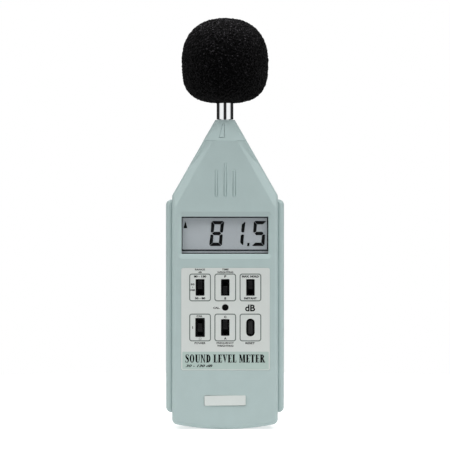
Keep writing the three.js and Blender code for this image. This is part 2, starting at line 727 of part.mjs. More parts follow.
function makeGrille() {
  const disc = solid(cylinderZ(grille.radius, grille.bottomZ, grille.topZ));
  const slots = [-1.5, -0.5, 0.5, 1.5].map((step) => {
    const y = step * grille.slotPitch;
    const length = 2 * Math.sqrt((grille.radius - 1) ** 2 - y ** 2);
    return solid(box(length, grille.slotWidth, reach, 0, y, grille.topZ));
  });
  return cut(disc, ...slots);
}

// Radius of the foam ball at a height.
function ballRadius(z) {
  const height = Math.abs(z - windscreen.centreZ) / windscreen.halfHeight;
  return windscreen.radius * (1 - height ** windscreen.exponent) ** (1 / windscreen.exponent);
}

function makeWindscreen() {
  const rings = 13;
  const topZ = windscreen.centreZ + windscreen.halfHeight;
  const lowAngle = Math.acos((windscreen.centreZ - windscreen.bottomZ) / windscreen.halfHeight);
  const outer = [];
  for (let i = 0; i < rings; i += 1) {
    const angle = lowAngle + (Math.PI - lowAngle) * (i / rings);
    const z = windscreen.centreZ - windscreen.halfHeight * Math.cos(angle);
    outer.push([ballRadius(z), z]);
  }
  return turned([
    [0, windscreen.boreTopZ],
    [windscreen.boreRadius, windscreen.boreTopZ],
    [windscreen.boreRadius, windscreen.bottomZ],
    ...outer,
    [0, topZ],
  ], 28);
}

// ---------------------------------------------------------------- battery

// The can lies across the casing with its terminals towards +X.
function makeBattery() {
  const shape = roundedRectangle(battery.depth, battery.height, 2.5);
  const centre = new THREE.Vector3(0, battery.frontY + battery.depth / 2, battery.bottomZ + battery.height / 2);
  const rightX = battery.leftX + battery.length;
  const can = solid(extruded(shape, Y, Z, battery.leftX, rightX, centre));
  const terminals = terminal.radii.map((radius, index) => {
    const post = new THREE.CylinderGeometry(radius, radius, terminal.height + 1, 16).rotateZ(Math.PI / 2);
    const z = centre.z + (index - 0.5) * terminal.spacing;
    return solid(post.translate(rightX + (terminal.height - 1) / 2, centre.y, z));
  });
  return join(can, ...terminals);
}

const snapX = battery.leftX + battery.length + terminal.height + gap;

function makeSnap() {
  const shape = roundedRectangle(snap.depth, snap.height, snap.radius);
  const centre = new THREE.Vector3(0, battery.frontY + battery.depth / 2, battery.bottomZ + battery.height / 2);
  return extruded(shape, Y, Z, snapX, snapX + snap.thickness, centre);
}

function makeBatteryLead(y) {
  return wire([
    [snapX + snap.thickness + gap, y, 22],
    [26, y, 22.1],
    [26.7, y, 23.4],
    [26.9, y, 30],
    [26.9, y, 37],
    [26.8, y - 0.3, 44],
    [25.6, y - 0.8, 49],
    [22 - 2 * y, 0.4, 52],
    [20 - 2 * y, -0.4, 52.6],
  ], 0.6, 22);
}

function makeMicrophoneLead() {
  const route = [
    [0, 0, 202.4], // straight down through the barrel
    [0, 0, 190],
    [0, 0, 175],
    [0, 0, 162],
    [0, 0.6, 156], // then bends forward to the circuit board
    [2, 0.4, 150],
    [4, 0.2, 146],
  ];
  return wire(route, 0.9, 24);
}

// ---------------------------------------------------------------- assembly

const meter = new THREE.Group();

function place(name, shape, material, x = 0, y = 0, z = 0) {
  const geometry = shape instanceof THREE.BufferGeometry ? shape : geometryOf(shape);
  const mesh = new THREE.Mesh(geometry, material());
  mesh.name = name;
  mesh.position.set(x, y, z);
  meter.add(mesh);
}

place('front_casing', makeFrontCasing(), casingPlastic);
place('rear_casing', makeRearCasing(), casingPlastic);
place('battery_cover', makeBatteryCover(), casingPlastic);
place('faceplate_label', makeLabel(), labelPlastic);
place('blank_plate', makeNamePlate(), labelPlastic);

casingScrews.forEach(([x, z], index) => {
  const length = casingScrew.seatY + gap - casingScrew.tipY;
  const screw = makeScrew(casingScrew.radius, length, casingScrew.headRadius, casingScrew.headHeight);
  place(`casing_screw_${index + 1}`, screw, steel, x, casingScrew.seatY + gap, z);
});
boardScrews.forEach(([x, z], index) => {
  const length = board.backY + gap - boardScrew.tipY;
  const screw = makeScrew(boardScrew.radius, length, boardScrew.headRadius, boardScrew.headHeight);
  place(`board_screw_${index + 1}`, screw, steel, x, board.backY + gap, z);
});

const insert = cut(
  solid(cylinderY(tripod.outerRadius, tripod.innerY, tripod.outerY, 0, tripod.z, 24)),
  solid(cylinderY(tripod.innerRadius, 0, reach, 0, tripod.z, 24)),
);
place('tripod_insert', insert, brass);

place('display_window', box(display.windowWidth, display.windowThickness, display.windowHeight, 0, 0, 0),
  clearPlastic, 0, windowY + display.windowThickness / 2, display.centreZ);
place('display_panel', box(display.panelWidth, display.panelThickness, display.panelHeight, 0, 0, 0),
  lcdGlass, 0, panelY + display.panelThickness / 2, display.centreZ);
place('display_holder', makeDisplayHolder(), blackPlastic);
const stripFront = panelY + display.panelThickness + gap;
const stripDepth = board.frontY - gap - stripFront;
const stripZ = display.panelHeight / 2 - display.stripHeight / 2 - gap;
for (const [name, side] of [['upper', 1], ['lower', -1]]) {
  place(`contact_strip_${name}`, box(display.stripWidth, stripDepth, display.stripHeight, 0, 0, 0),
    rubber, 0, stripFront + stripDepth / 2, display.centreZ + side * stripZ);
}

place('circuit_board', makeBoard(), boardLaminate);
const onBoardY = board.backY + gap;
place('converter_chip', makeChip(converterChip.width, converterChip.height, converterChip.depth),
  blackPlastic, 0, onBoardY, converterChip.z);
amplifierChip.xs.forEach((x, index) => {
  const chip = makeChip(amplifierChip.width, amplifierChip.height, amplifierChip.depth);
  place(`amplifier_chip_${index + 1}`, chip, blackPlastic, x, onBoardY, amplifierChip.z);
});
capacitor.places.forEach(([x, z], index) => {
  place(`capacitor_${index + 1}`, makeCapacitor(), capacitorSleeve, x, onBoardY, z);
});

slideSwitches.forEach((slideSwitch) => {
  const { name, x, z, rest } = slideSwitch;
  place(`${name}_switch_body`, makeSwitchBody(slideSwitch), blackPlastic, x, 0, z);
  place(`${name}_slider`, makeSlider(), blackPlastic, x, 0, z + rest);
});
place('reset_switch_body', makeResetBody(), blackPlastic, reset.x, 0, reset.z);
place('reset_button', makeResetButton(), blackPlastic, reset.x, 0, reset.z);
place('trimmer_body', makeTrimmerBody(), blackPlastic, trimmer.x, 0, trimmer.z);
place('trimmer_rotor', makeTrimmerRotor(), trimmerPlastic, trimmer.x, 0, trimmer.z);

place('microphone_barrel', makeBarrel(), chrome);
place('microphone_capsule', cylinderZ(capsule.radius, capsule.bottomZ, capsule.topZ), steel);
place('microphone_grille', makeGrille(), chrome);
place('microphone_lead', makeMicrophoneLead(), greyInsulation);
place('windscreen', makeWindscreen(), foam);

place('battery', makeBattery(), batteryCan);
place('battery_snap', makeSnap(), blackPlastic);
place('battery_lead_positive', makeBatteryLead(0.2), redInsulation);
place('battery_lead_negative', makeBatteryLead(2.6), blackPlastic);

export default meter;
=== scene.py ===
"""Looks of the hand-held sound level meter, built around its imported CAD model.

Mesh code works in millimetres in the CAD's frame (+Z up along the microphone axis, the front
faces -Y, the origin at the lowest point of the casing's middle), and each mesh is scaled to
metres when its piece is made.
"""

import math
from itertools import combinations, product

import bmesh
import bpy
import numpy as np
from mathutils import Matrix, Vector, noise


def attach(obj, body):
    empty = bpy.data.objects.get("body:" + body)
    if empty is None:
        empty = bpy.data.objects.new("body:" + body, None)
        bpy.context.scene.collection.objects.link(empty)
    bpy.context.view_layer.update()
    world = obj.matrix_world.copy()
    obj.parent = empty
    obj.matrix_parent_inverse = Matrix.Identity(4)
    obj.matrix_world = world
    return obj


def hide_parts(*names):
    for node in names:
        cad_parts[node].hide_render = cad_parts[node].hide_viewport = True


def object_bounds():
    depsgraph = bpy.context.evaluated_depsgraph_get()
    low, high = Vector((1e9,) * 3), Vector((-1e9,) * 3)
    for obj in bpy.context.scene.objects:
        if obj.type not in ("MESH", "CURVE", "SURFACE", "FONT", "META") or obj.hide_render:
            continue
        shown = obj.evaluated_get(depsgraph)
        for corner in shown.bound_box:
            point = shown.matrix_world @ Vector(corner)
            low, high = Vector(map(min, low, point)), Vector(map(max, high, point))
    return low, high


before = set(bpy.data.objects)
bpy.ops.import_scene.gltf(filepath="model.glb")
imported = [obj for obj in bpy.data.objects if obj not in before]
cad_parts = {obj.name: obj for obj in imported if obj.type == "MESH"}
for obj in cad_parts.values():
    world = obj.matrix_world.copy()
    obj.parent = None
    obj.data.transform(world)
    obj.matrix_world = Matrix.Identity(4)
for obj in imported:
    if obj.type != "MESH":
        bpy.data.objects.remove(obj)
cad_low, cad_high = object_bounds()

MM = 0.001

# ---------------------------------------------------------------- driving dimensions (mm)

GAP = 0.3  # between the casing halves, and round the battery cover
WALL = 2.2
FAR = 60.0  # how far a cutting tool runs past what it cuts

HALF_WIDTH = 30.6
HALF_DEPTH = 12.5
SHOULDER_Z = 135.2
CORNER_RADIUS = 3.6
BOTTOM_RISE = 2.5
EDGE_RADIUS = 2.6
NOSE_TOP = 179.0
NOSE_HALF_WIDTH = 5.6
NOSE_HALF_DEPTH = 7.0
CREASE_Z = 166.7
BEVEL_WIDTH = 5.0
BEVEL_DROP = 2.6
RAIL_HALF_WIDTH = 34.2
RAIL_HALF_DEPTH = 8.0
RAIL_Z = (9.3, 132.9)
RAIL_CORNER = 3.2
CAVITY_TOP = 172.3
GUSSET_LOW_Z = 148.0
CRADLE_Z = (165.8, 169.7)  # the rib that holds the barrel's neck
DIVIDER_Z = (34.5, 36.1)  # the wall above the battery
LEAD_NOTCH_X = (24.6, 28.2)  # where the battery leads pass that wall

DISPLAY_Z = 112.25
OPENING = (50.1, 21.5)
LIP = (54.4, 27.6)  # outside of the bevelled surround of the opening
WINDOW = (53.5, 25.0, 1.0)
PANEL = (53.3, 26.3, 2.2)
WINDOW_Y = -10.0
PANEL_Y = -8.7

LABEL = (51.3, 58.9)
LABEL_Z = 63.85
LABEL_X = 0.3  # the printed sheet lies a little to the right of the middle
LABEL_THICKNESS = 0.4
LABEL_RECESS = 0.7
PLATE = (23.9, 5.8)
PLATE_Z = 16.75

COLUMNS = (-14.4, 0.15, 14.7)
UPPER, LOWER = 82.15, 59.0
# name, x, z, slot width, slot height, rest offset, whole travel
SWITCHES = (
    ("range", COLUMNS[0], UPPER, 5.0, 9.5, 1.55, 3.1),
    ("time_weighting", COLUMNS[1], UPPER, 4.8, 9.5, -1.55, 3.1),
    ("max_hold", COLUMNS[2], UPPER, 4.8, 9.5, 1.55, 3.1),
    ("power", COLUMNS[0], LOWER, 5.4, 10.9, 0.0, 4.2),
    ("frequency_weighting", COLUMNS[1], LOWER, 4.8, 9.5, 1.55, 3.1),
)
KNOB = (2.4, 4.4)
KNOB_FOOT = 5.6  # height of the foot that keeps a slider in its body
PLAY = 0.25
BEZEL_Y = -12.25
BOARD_FRONT = -3.3  # the face of the circuit board that the switches stand on
RESET = (COLUMNS[2], LOWER, 4.8, 10.1)
RESET_CAP = (2.6, 7.4)
TRIMMER = (0.15, 70.6)
TRIMMER_HOLE = 1.9

PILOT_RADIUS, BOSS_RADIUS = 1.55, 3.2
CASING_SCREWS = ((-22, 42.5), (22, 42.5), (-21, 131.5), (21, 131.5))
BOARD_SCREWS = ((-24.5, 94), (24.5, 94), (-12, 141), (12, 141))
BATTERY_OPENING = (26.2, 6.2, 33.4)
TONGUE_TOP = 37.3
TRIPOD_Z = 75.0

BARREL_BORE_RADIUS = 3.7  # of the hole in the casing that the barrel's neck passes through
BALL = dict(radius=25.15, up=25.6, down=23.8, centre=212.6, exponents=(2.32, 3.0), bore=5.15)
TERMINAL_OFFSET = 6.35  # from the battery's middle to each terminal
BATTERY = dict(left=-25.6, right=19.9, bottom=6.5, top=33.0, front=-8.6, back=8.9)

SLOPE_RUN = HALF_WIDTH - NOSE_HALF_WIDTH
SLOPE_RISE = NOSE_TOP - SHOULDER_Z
SLOPE_LENGTH = math.hypot(SLOPE_RUN, SLOPE_RISE)


# ---------------------------------------------------------------- mesh helpers (mm)


def solid(vertices, faces, *turns):
    """A closed mesh from its vertices and faces, moved by each matrix in turn."""
    mesh = bpy.data.meshes.new("work")
    mesh.from_pydata([tuple(v) for v in vertices], [], faces)
    mesh.update()
    for turn in turns:
        mesh.transform(turn)
    return joined(mesh)


def from_bmesh(bm):
    bmesh.ops.recalc_face_normals(bm, faces=bm.faces)
    mesh = bpy.data.meshes.new("work")
    bm.to_mesh(mesh)
    bm.free()
    return mesh


def to_bmesh(*meshes):
    bm = bmesh.new()
    for mesh in meshes:
        bm.from_mesh(mesh)
    return bm


def joined(*meshes):
    """Several meshes as one, with no boolean."""
    return from_bmesh(to_bmesh(*meshes))


def moved(mesh, x=0.0, y=0.0, z=0.0, turn=None):
    """The mesh turned (a 4x4 matrix) about the origin and then shifted."""
    if turn is not None:
        mesh.transform(turn)
    mesh.transform(Matrix.Translation((x, y, z)))
    return mesh


def boolean(base, tools, operation="DIFFERENCE"):
    """The base mesh after each tool has been cut from it, added to it or met with it."""
    made = [bpy.data.objects.new("work", mesh) for mesh in (base, *tools)]
    for thing in made:
        bpy.context.scene.collection.objects.link(thing)
    for tool in made[1:]:
        modifier = made[0].modifiers.new("boolean", "BOOLEAN")
        modifier.operation = operation
        modifier.solver = "MANIFOLD"
        modifier.object = tool
    graph = bpy.context.evaluated_depsgraph_get()
    result = bpy.data.meshes.new_from_object(made[0].evaluated_get(graph), depsgraph=graph)
    for thing in made:
        bpy.data.objects.remove(thing)
    if not result.polygons:
        raise RuntimeError("a boolean left nothing")
    return result


def cut(base, *tools):
    return boolean(base, tools)


def add(base, *tools):
    return boolean(base, tools, "UNION")


def meet(base, *tools):
    return boolean(base, tools, "INTERSECT")


def hull(points):
    """Convex hull with its flat faces merged."""
    bm = bmesh.new()
    for point in points:
        bm.verts.new(point)
    bmesh.ops.convex_hull(bm, input=bm.verts, use_existing_faces=False)
    loose = [v for v in bm.verts if not v.link_faces]
    bmesh.ops.delete(bm, geom=loose, context="VERTS")
    flat = math.radians(0.05)
    bmesh.ops.dissolve_limit(bm, angle_limit=flat, verts=bm.verts, edges=bm.edges, use_dissolve_boundaries=False)
    return from_bmesh(bm)


def sphere_directions(steps):
    """Directions on a sphere whose poles lie on the Y axis, every 90/steps degrees."""
    made = [Vector((0, -1, 0)), Vector((0, 1, 0))]
    for i in range(1, 2 * steps):
        latitude = -math.pi / 2 + math.pi / 2 * i / steps
        across, y = math.cos(latitude), math.sin(latitude)
        for k in range(4 * steps):
            turn = math.pi / 2 * k / steps
            made.append(Vector((across * math.cos(turn), y, across * math.sin(turn))))
    return made


def rounded_hull(corners, radius, steps=6, extra=()):
    """Convex hull of a ball at each corner: a block with every edge rounded."""
    directions = sphere_directions(steps) + [Vector(n) for n in extra]
    return hull([Vector(c) + d * radius for c in corners for d in directions])


def plane_of(normal, through, shift=0.0):
    """A plane as (outward unit normal, distance), pushed outwards by a shift."""
    normal = Vector(normal).normalized()
    return normal, normal.dot(Vector(through)) + shift


def plane_corners(planes):
    """Corners of the convex block inside planes given as (outward normal, distance)."""
    normals = np.array([list(n) for n, _ in planes], float)
    distances = np.array([d for _, d in planes], float)
    corners = []
    for three in map(list, combinations(range(len(planes)), 3)):
        if abs(np.linalg.det(normals[three])) < 1e-5:
            continue
        point = np.linalg.solve(normals[three], distances[three])
        inside = np.all(normals @ point <= distances + 1e-6)
        if inside and all(np.linalg.norm(point - c) > 1e-4 for c in corners):
            corners.append(point)
    return [Vector(c) for c in corners]


def block(low, high):
    """A plain box between two corners, for cutting and joining."""
    return hull(product(*zip(low, high)))


def soft_block(low, high, radius, steps=4):
    """A box with rounded edges between two corners."""
    return rounded_hull(product(*((lo + radius, hi - radius) for lo, hi in zip(low, high))), radius, steps)


def ring_points(width, height, radius, steps=8):
    """Rounded rectangle around (0, 0), anticlockwise, always with 4 * (steps + 1) points."""
    radius = min(radius, width / 2 - 1e-4, height / 2 - 1e-4)
    points = []
    for corner, (sx, sz) in enumerate(((1, 1), (-1, 1), (-1, -1), (1, -1))):
        cx, cz = sx * (width / 2 - radius), sz * (height / 2 - radius)
        for i in range(steps + 1):
            angle = math.pi / 2 * (corner + i / steps)
            points.append((cx + radius * math.cos(angle), cz + radius * math.sin(angle)))
    return points


def loft(rings, x=0.0, z=0.0, steps=8):
    """A closed block through rings (width, height, corner radius, y), from front to back."""
    vertices, faces = [], []
    count = 4 * (steps + 1)
    for width, height, radius, y in rings:
        vertices += [(px + x, y, pz + z) for px, pz in ring_points(width, height, radius, steps)]
    faces.append(list(range(count)))
    for ring in range(len(rings) - 1):
        a, b = ring * count, (ring + 1) * count
        for i in range(count):
            k = (i + 1) % count
            faces.append([a + k, a + i, b + i, b + k])
    last = (len(rings) - 1) * count
    faces.append([last + i for i in reversed(range(count))])
    return solid(vertices, faces)


def eased(width, height, radius, front, back, edge, x=0.0, z=0.0, back_edge=0.0, arcs=4, steps=8):
    """A rounded-rectangle block along Y whose front (and back) edge is rounded."""
    turns = [math.pi / 2 * i / arcs for i in range(arcs + 1)]
    insets = [(edge * (1 - math.sin(a)), front + edge * (1 - math.cos(a))) for a in turns]
    if back_edge:
        insets += [(back_edge * (1 - math.cos(a)), back - back_edge * (1 - math.sin(a))) for a in turns]
    rings = [(width - 2 * inset, height - 2 * inset, max(radius - inset, 0.02), y) for inset, y in insets]
    if not back_edge:
        rings.append((width, height, radius, back))
    return loft(rings, x, z, steps)


def lathe(profile, sides=64, axis="Z", centre=(0.0, 0.0, 0.0)):
    """A turned piece. The profile is a closed loop of (radius, height), or runs from axis to axis."""
    vertices, faces, rows = [], [], []
    for radius, height in profile:
        if radius < 1e-6:
            rows.append([len(vertices)])
            vertices.append((0.0, 0.0, height))
        else:
            rows.append(list(range(len(vertices), len(vertices) + sides)))
            for i in range(sides):
                angle = 2 * math.pi * i / sides
                vertices.append((radius * math.cos(angle), radius * math.sin(angle), height))
    pairs = list(zip(rows, rows[1:]))
    if len(rows[0]) > 1 and len(rows[-1]) > 1:
        pairs.append((rows[-1], rows[0]))
    for a, b in pairs:
        for i in range(sides):
            k = (i + 1) % sides
            corners = [a[i % len(a)], a[k % len(a)], b[k % len(b)], b[i % len(b)]]
            face = list(dict.fromkeys(corners))
            if len(face) > 2:
                faces.append(face)
    lie_down = {"X": (math.pi / 2, 4, "Y"), "Y": (-math.pi / 2, 4, "X")}
    turns = [Matrix.Rotation(*lie_down[axis])] if axis in lie_down else []
    return solid(vertices, faces, *turns, Matrix.Translation(centre))


def rod(radius, low, high, centre, sides=48, axis="Y"):
    """A plain cylinder for cutting and joining, from low to high along its axis."""
    return lathe([(0, low), (radius, low), (radius, high), (0, high)], sides, axis, centre)


def smooth_line(points, per_span):
    """Points along a smooth (Catmull-Rom) curve through the given ones."""
    points = [Vector(p) for p in points]
    guides = [points[0] * 2 - points[1], *points, points[-1] * 2 - points[-2]]
    line = []
    for p0, p1, p2, p3 in zip(guides, guides[1:], guides[2:], guides[3:]):
        bend, twist = 2 * p0 - 5 * p1 + 4 * p2 - p3, 3 * p1 - p0 - 3 * p2 + p3
        for t in (k / per_span for k in range(per_span)):
            line.append(0.5 * (2 * p1 + (p2 - p0) * t + bend * t**2 + twist * t**3))
    return line + [points[-1]]


def tube(points, radius, sides=14, per_span=8, ease=0.3):
    """A closed round tube along a smooth curve through the points, its ends eased."""
    route = smooth_line(points, per_span)
    last = len(route) - 1
    side = (route[1] - route[0]).normalized().orthogonal().normalized()
    vertices, faces, rows = [], [], []
    # each row's place on the route, and how far an eased end row is pushed out past it
    stations = [(0, -radius * ease), *((i, 0.0) for i in range(last + 1)), (last, radius * ease)]
    for i, push in stations:
        tangent = (route[min(i + 1, last)] - route[max(i - 1, 0)]).normalized()
        side = (side - tangent * side.dot(tangent)).normalized()
        other = tangent.cross(side)
        r = radius * (1 - ease) if push else radius
        rows.append(list(range(len(vertices), len(vertices) + sides)))
        for angle in (2 * math.pi * k / sides for k in range(sides)):
            vertices.append(route[i] + tangent * push + (side * math.cos(angle) + other * math.sin(angle)) * r)
    for a, b in zip(rows, rows[1:]):
        for i in range(sides):
            k = (i + 1) % sides
            faces.append([a[i], a[k], b[k], b[i]])
    return solid(vertices, faces + [rows[0][::-1], rows[-1]])


def flat_shape(outline, front, back, x=0.0, z=0.0):
    """A thin closed prism along Y with the given (x, z) outline."""
    count = len(outline)
    vertices = [(px + x, y, pz + z) for y in (front, back) for px, pz in outline]
    faces = [list(range(count)), [count + i for i in reversed(range(count))]]
    for i in range(count):
        k = (i + 1) % count
        faces.append([k, i, count + i, count + k])
    return solid(vertices, faces)


def flat_band(outer, inner, front, back, closed=True):
    """A thin prism between two (x, z) lines with as many points: a printed frame or a pen stroke."""
    count = len(outer)
    vertices = [(px, y, pz) for y in (front, back) for line in (outer, inner) for px, pz in line]
    o1, i1, o2, i2 = (k * count for k in range(4))
    faces = []
    spans = count if closed else count - 1
    for i in range(spans):
        k = (i + 1) % count
        faces.append([o1 + i, o1 + k, i1 + k, i1 + i])
        faces.append([o2 + k, o2 + i, i2 + i, i2 + k])
        faces.append([o1 + k, o1 + i, o2 + i, o2 + k])
        faces.append([i1 + i, i1 + k, i2 + k, i2 + i])
    if not closed:
        end = count - 1
        faces.append([o1, i1, i2, o2])
        faces.append([o1 + end, o2 + end, i2 + end, i1 + end])
    return solid(vertices, faces)


def piece(name, mesh, material, body, nodes=(), angle=30, weighted=True):
    """A finished piece in metres, riding on its body and standing for its CAD nodes."""
    mesh.transform(Matrix.Scale(MM, 4))
    mesh.name = name
    mesh.materials.clear()
    mesh.materials.append(material)
    mesh.polygons.foreach_set("use_smooth", [True] * len(mesh.polygons))
    mesh.polygons.foreach_set("material_index", [0] * len(mesh.polygons))
    mesh.set_sharp_from_angle(angle=math.radians(angle))
    made = bpy.data.objects.new(name, mesh)
    bpy.context.scene.collection.objects.link(made)
    if weighted:
        modifier = made.modifiers.new("normals", "WEIGHTED_NORMAL")
        modifier.keep_sharp = True
        modifier.weight = 80
    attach(made, body)
    if nodes:
        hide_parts(*nodes)
    return made


# ---------------------------------------------------------------- material helpers


def linear(red, green, blue):
    """A colour read from 0-255 display values, as the linear value a shader takes."""

    def one(value):
        value /= 255
        return value / 12.92 if value <= 0.04045 else ((value + 0.055) / 1.055) ** 2.4

    return (one(red), one(green), one(blue), 1.0)


class Nodes:
    """A small builder for the nodes of one material or world."""

    def __init__(self, owner, kind="Material", place="Object"):
        owner.use_nodes = True
        self.owner = owner
        self.tree = owner.node_tree
        self.tree.nodes.clear()
        self.output = self.tree.nodes.new("ShaderNodeOutput" + kind)
        self.place = self.tree.nodes.new("ShaderNodeTexCoord").outputs[place]

    def new(self, kind, inputs=(), **settings):
        """A node with its settings, and each input linked to a socket or given a value."""
        node = self.tree.nodes.new(kind)
        for key, value in settings.items():
            setattr(node, key, value)
        for key, value in dict(inputs).items():
            if isinstance(value, bpy.types.NodeSocket):
                self.tree.links.new(value, node.inputs[key])
            else:
                node.inputs[key].default_value = value
        return node

    def noise(self, millimetres, detail=2.0, rough=0.5, stretch=None):
        place = self.place
        if stretch:
            place = self.new("ShaderNodeMapping", {"Vector": place, "Scale": stretch}).outputs["Vector"]
        inputs = {"Vector": place, "Scale": 1 / (millimetres * MM), "Detail": detail, "Roughness": rough}
        return self.new("ShaderNodeTexNoise", inputs).outputs["Fac"]

    def cells(self, millimetres):
        inputs = {"Vector": self.place, "Scale": 1 / (millimetres * MM)}
        return self.new("ShaderNodeTexVoronoi", inputs).outputs["Distance"]

    def blend(self, factor, first, second):
        """Two colours mixed by a factor that changes over the surface."""
        return self.new("ShaderNodeMix", {"Factor": factor, 6: first, 7: second}, data_type="RGBA").outputs[2]

    def math(self, operation, *values):
        return self.new("ShaderNodeMath", dict(enumerate(values)), operation=operation).outputs[0]

    def spread(self, value, low, high, to_low=0.0, to_high=1.0, **settings):
        inputs = {"Value": value, "From Min": low, "From Max": high, "To Min": to_low, "To Max": to_high}
        return self.new("ShaderNodeMapRange", inputs, **settings).outputs["Result"]

    def bump(self, height, strength, millimetres, onto=None):
        inputs = {"Height": height, "Strength": strength, "Distance": millimetres * MM}
        if onto is not None:
            inputs["Normal"] = onto
        return self.new("ShaderNodeBump", inputs).outputs["Normal"]

    def mix_shader(self, factor, first, second):
        return self.new("ShaderNodeMixShader", {0: factor, 1: first, 2: second}).outputs[0]

    def finish(self, shader):
        """Sends a shader to the output, and gives back the material or world."""
        self.tree.links.new(shader, self.output.inputs["Surface"])
        return self.owner

    def principled(self, inputs):
        return self.finish(self.new("ShaderNodeBsdfPrincipled", inputs).outputs["BSDF"])


def material_nodes(name):
    return Nodes(bpy.data.materials.new(name))


def shade(colour, factor):
    return tuple(min(1.0, c * factor) for c in colour[:3]) + (1.0,)


def moulded(name, colour, roughness=0.45, grain=0.28, depth=0.02, spread=0.03, mottle=9.0, specular=0.5):
    """Moulded plastic: a fine spark-eroded grain, a faint cloudiness and varying gloss."""
    n = material_nodes(name)
    cloud = n.noise(mottle, 3.0)
    fine = n.noise(grain, 3.0, 0.6)
    tone = n.blend(n.spread(cloud, 0.35, 0.65), shade(colour, 1 - spread), shade(colour, 1 + spread))
    tone = n.blend(n.spread(fine, 0.35, 0.7, 0.0, 0.5), tone, shade(colour, 1 + spread * 1.5))
    gloss = n.spread(fine, 0.3, 0.7, roughness - 0.05, roughness + 0.06)
    normal = n.bump(n.cells(grain * 1.8), 0.25, depth, n.bump(fine, 0.5, depth))
    return n.principled({"Base Color": tone, "Roughness": gloss, "Normal": normal, "Specular IOR Level": specular})


def metal(name, colour, roughness=0.15, stretch=(1, 1, 1), grain=0.6, depth=0.004):
    """Bare or plated metal with fine tool lines and slightly uneven gloss."""
    n = material_nodes(name)
    lines = n.noise(grain, 3.0, 0.6, stretch)
    tone = n.blend(n.spread(n.noise(4.0, 2.0), 0.3, 0.7), shade(colour, 0.94), colour)
    gloss = n.spread(lines, 0.3, 0.7, roughness * 0.8, roughness * 1.3)
    normal = n.bump(lines, 0.3, depth)
    return n.principled({"Base Color": tone, "Roughness": gloss, "Metallic": 1.0, "Normal": normal})


def printed(name, colour, roughness=0.5, specular=0.12):
    """Screen-printed ink: slightly uneven cover."""
    n = material_nodes(name)
    fine = n.noise(0.12, 2.0)
    tone = n.blend(n.spread(fine, 0.35, 0.7), colour, shade(colour, 1.25))
    gloss = n.spread(fine, 0.3, 0.7, roughness - 0.05, roughness + 0.08)
    return n.principled({"Base Color": tone, "Roughness": gloss, "Specular IOR Level": specular})


def foam_material():
    """Open-cell foam: black pores, grey cell walls and bright flecks, with painted top light: paler where it faces
    upwards.
    """
    n = material_nodes("foam")
    pores = n.cells(0.95)
    fine = n.noise(0.5, 4.0, 0.7)
    cloud = n.noise(3.0, 3.0, 0.6)
    flecks = n.spread(n.noise(1.1, 2.0, 0.8), 0.58, 0.66)
    normals = n.new("ShaderNodeTexCoord").outputs["Normal"]
    upwards = n.spread(n.new("ShaderNodeSeparateXYZ", {"Vector": normals}).outputs["Z"], 0.0, 1.0)
    walls = n.spread(pores, 0.25, 0.6)
    deep = n.blend(walls, (0.0001, 0.0001, 0.0001, 1), (0.0016, 0.0016, 0.0018, 1))
    deep = n.blend(flecks, deep, (0.026, 0.025, 0.027, 1))
    # painted top light: a paler copy of the foam's colours, blended in where the surface faces upwards
    painted_top_light = n.blend(walls, (0.002, 0.002, 0.002, 1), (0.012, 0.0115, 0.0125, 1))
    painted_top_light = n.blend(flecks, painted_top_light, (0.15, 0.142, 0.154, 1))
    tone = n.blend(n.spread(cloud, 0.3, 0.7, 0.0, 0.4), n.blend(upwards, deep, painted_top_light), (0.0006, 0.0006, 0.0007, 1))
    return n.principled(
        {
            "Base Color": tone,
            "Roughness": n.spread(fine, 0.3, 0.7, 0.85, 1.0),
            "Normal": n.bump(pores, 0.9, 0.6, n.bump(fine, 1.0, 0.7)),
            "Specular IOR Level": 0.02,
            "Sheen Weight": 0.05,
            "Sheen Roughness": 0.35,
        }
    )


def clear_material():
    """Thin clear pane: what is behind it shows, with a sheen that grows towards grazing angles."""
    n = material_nodes("clear_window")
    through = n.new("ShaderNodeBsdfTransparent", {"Color": (0.96, 0.975, 0.97, 1)}).outputs[0]
    gloss = n.new("ShaderNodeBsdfGlossy", {"Roughness": n.spread(n.noise(1.5, 2.0), 0.3, 0.7, 0.03, 0.07)}).outputs[0]
    edge_on = n.new("ShaderNodeLayerWeight", {"Blend": 0.5}).outputs["Facing"]
    rim = n.spread(n.math("POWER", edge_on, 4.0), 0.0, 1.0, 0.04, 0.9)
    return n.finish(n.mix_shader(rim, through, gloss))


def board_material():
    """Green solder mask over copper tracks that run across and along the board."""
    n = material_nodes("board_laminate")
    tracks = []
    for direction, scale, distortion in (("X", 160.0, 6.0), ("Z", 130.0, 5.0)):
        inputs = {"Vector": n.place, "Scale": scale, "Distortion": distortion, "Detail": 1.0}
        tracks.append(n.new("ShaderNodeTexWave", inputs, bands_direction=direction).outputs["Fac"])
    zone = n.spread(n.noise(14.0, 1.0), 0.47, 0.53)
    track = n.new("ShaderNodeMix", {"Factor": zone, 2: tracks[0], 3: tracks[1]}).outputs[0]
    cover = n.spread(track, 0.62, 0.7)
    tone = n.blend(cover, (0.018, 0.095, 0.032, 1), (0.045, 0.2, 0.07, 1))
    gloss = n.spread(n.noise(1.0), 0.3, 0.7, 0.3, 0.42)
    return n.principled({"Base Color": tone, "Roughness": gloss, "Normal": n.bump(cover, 0.4, 0.04)})


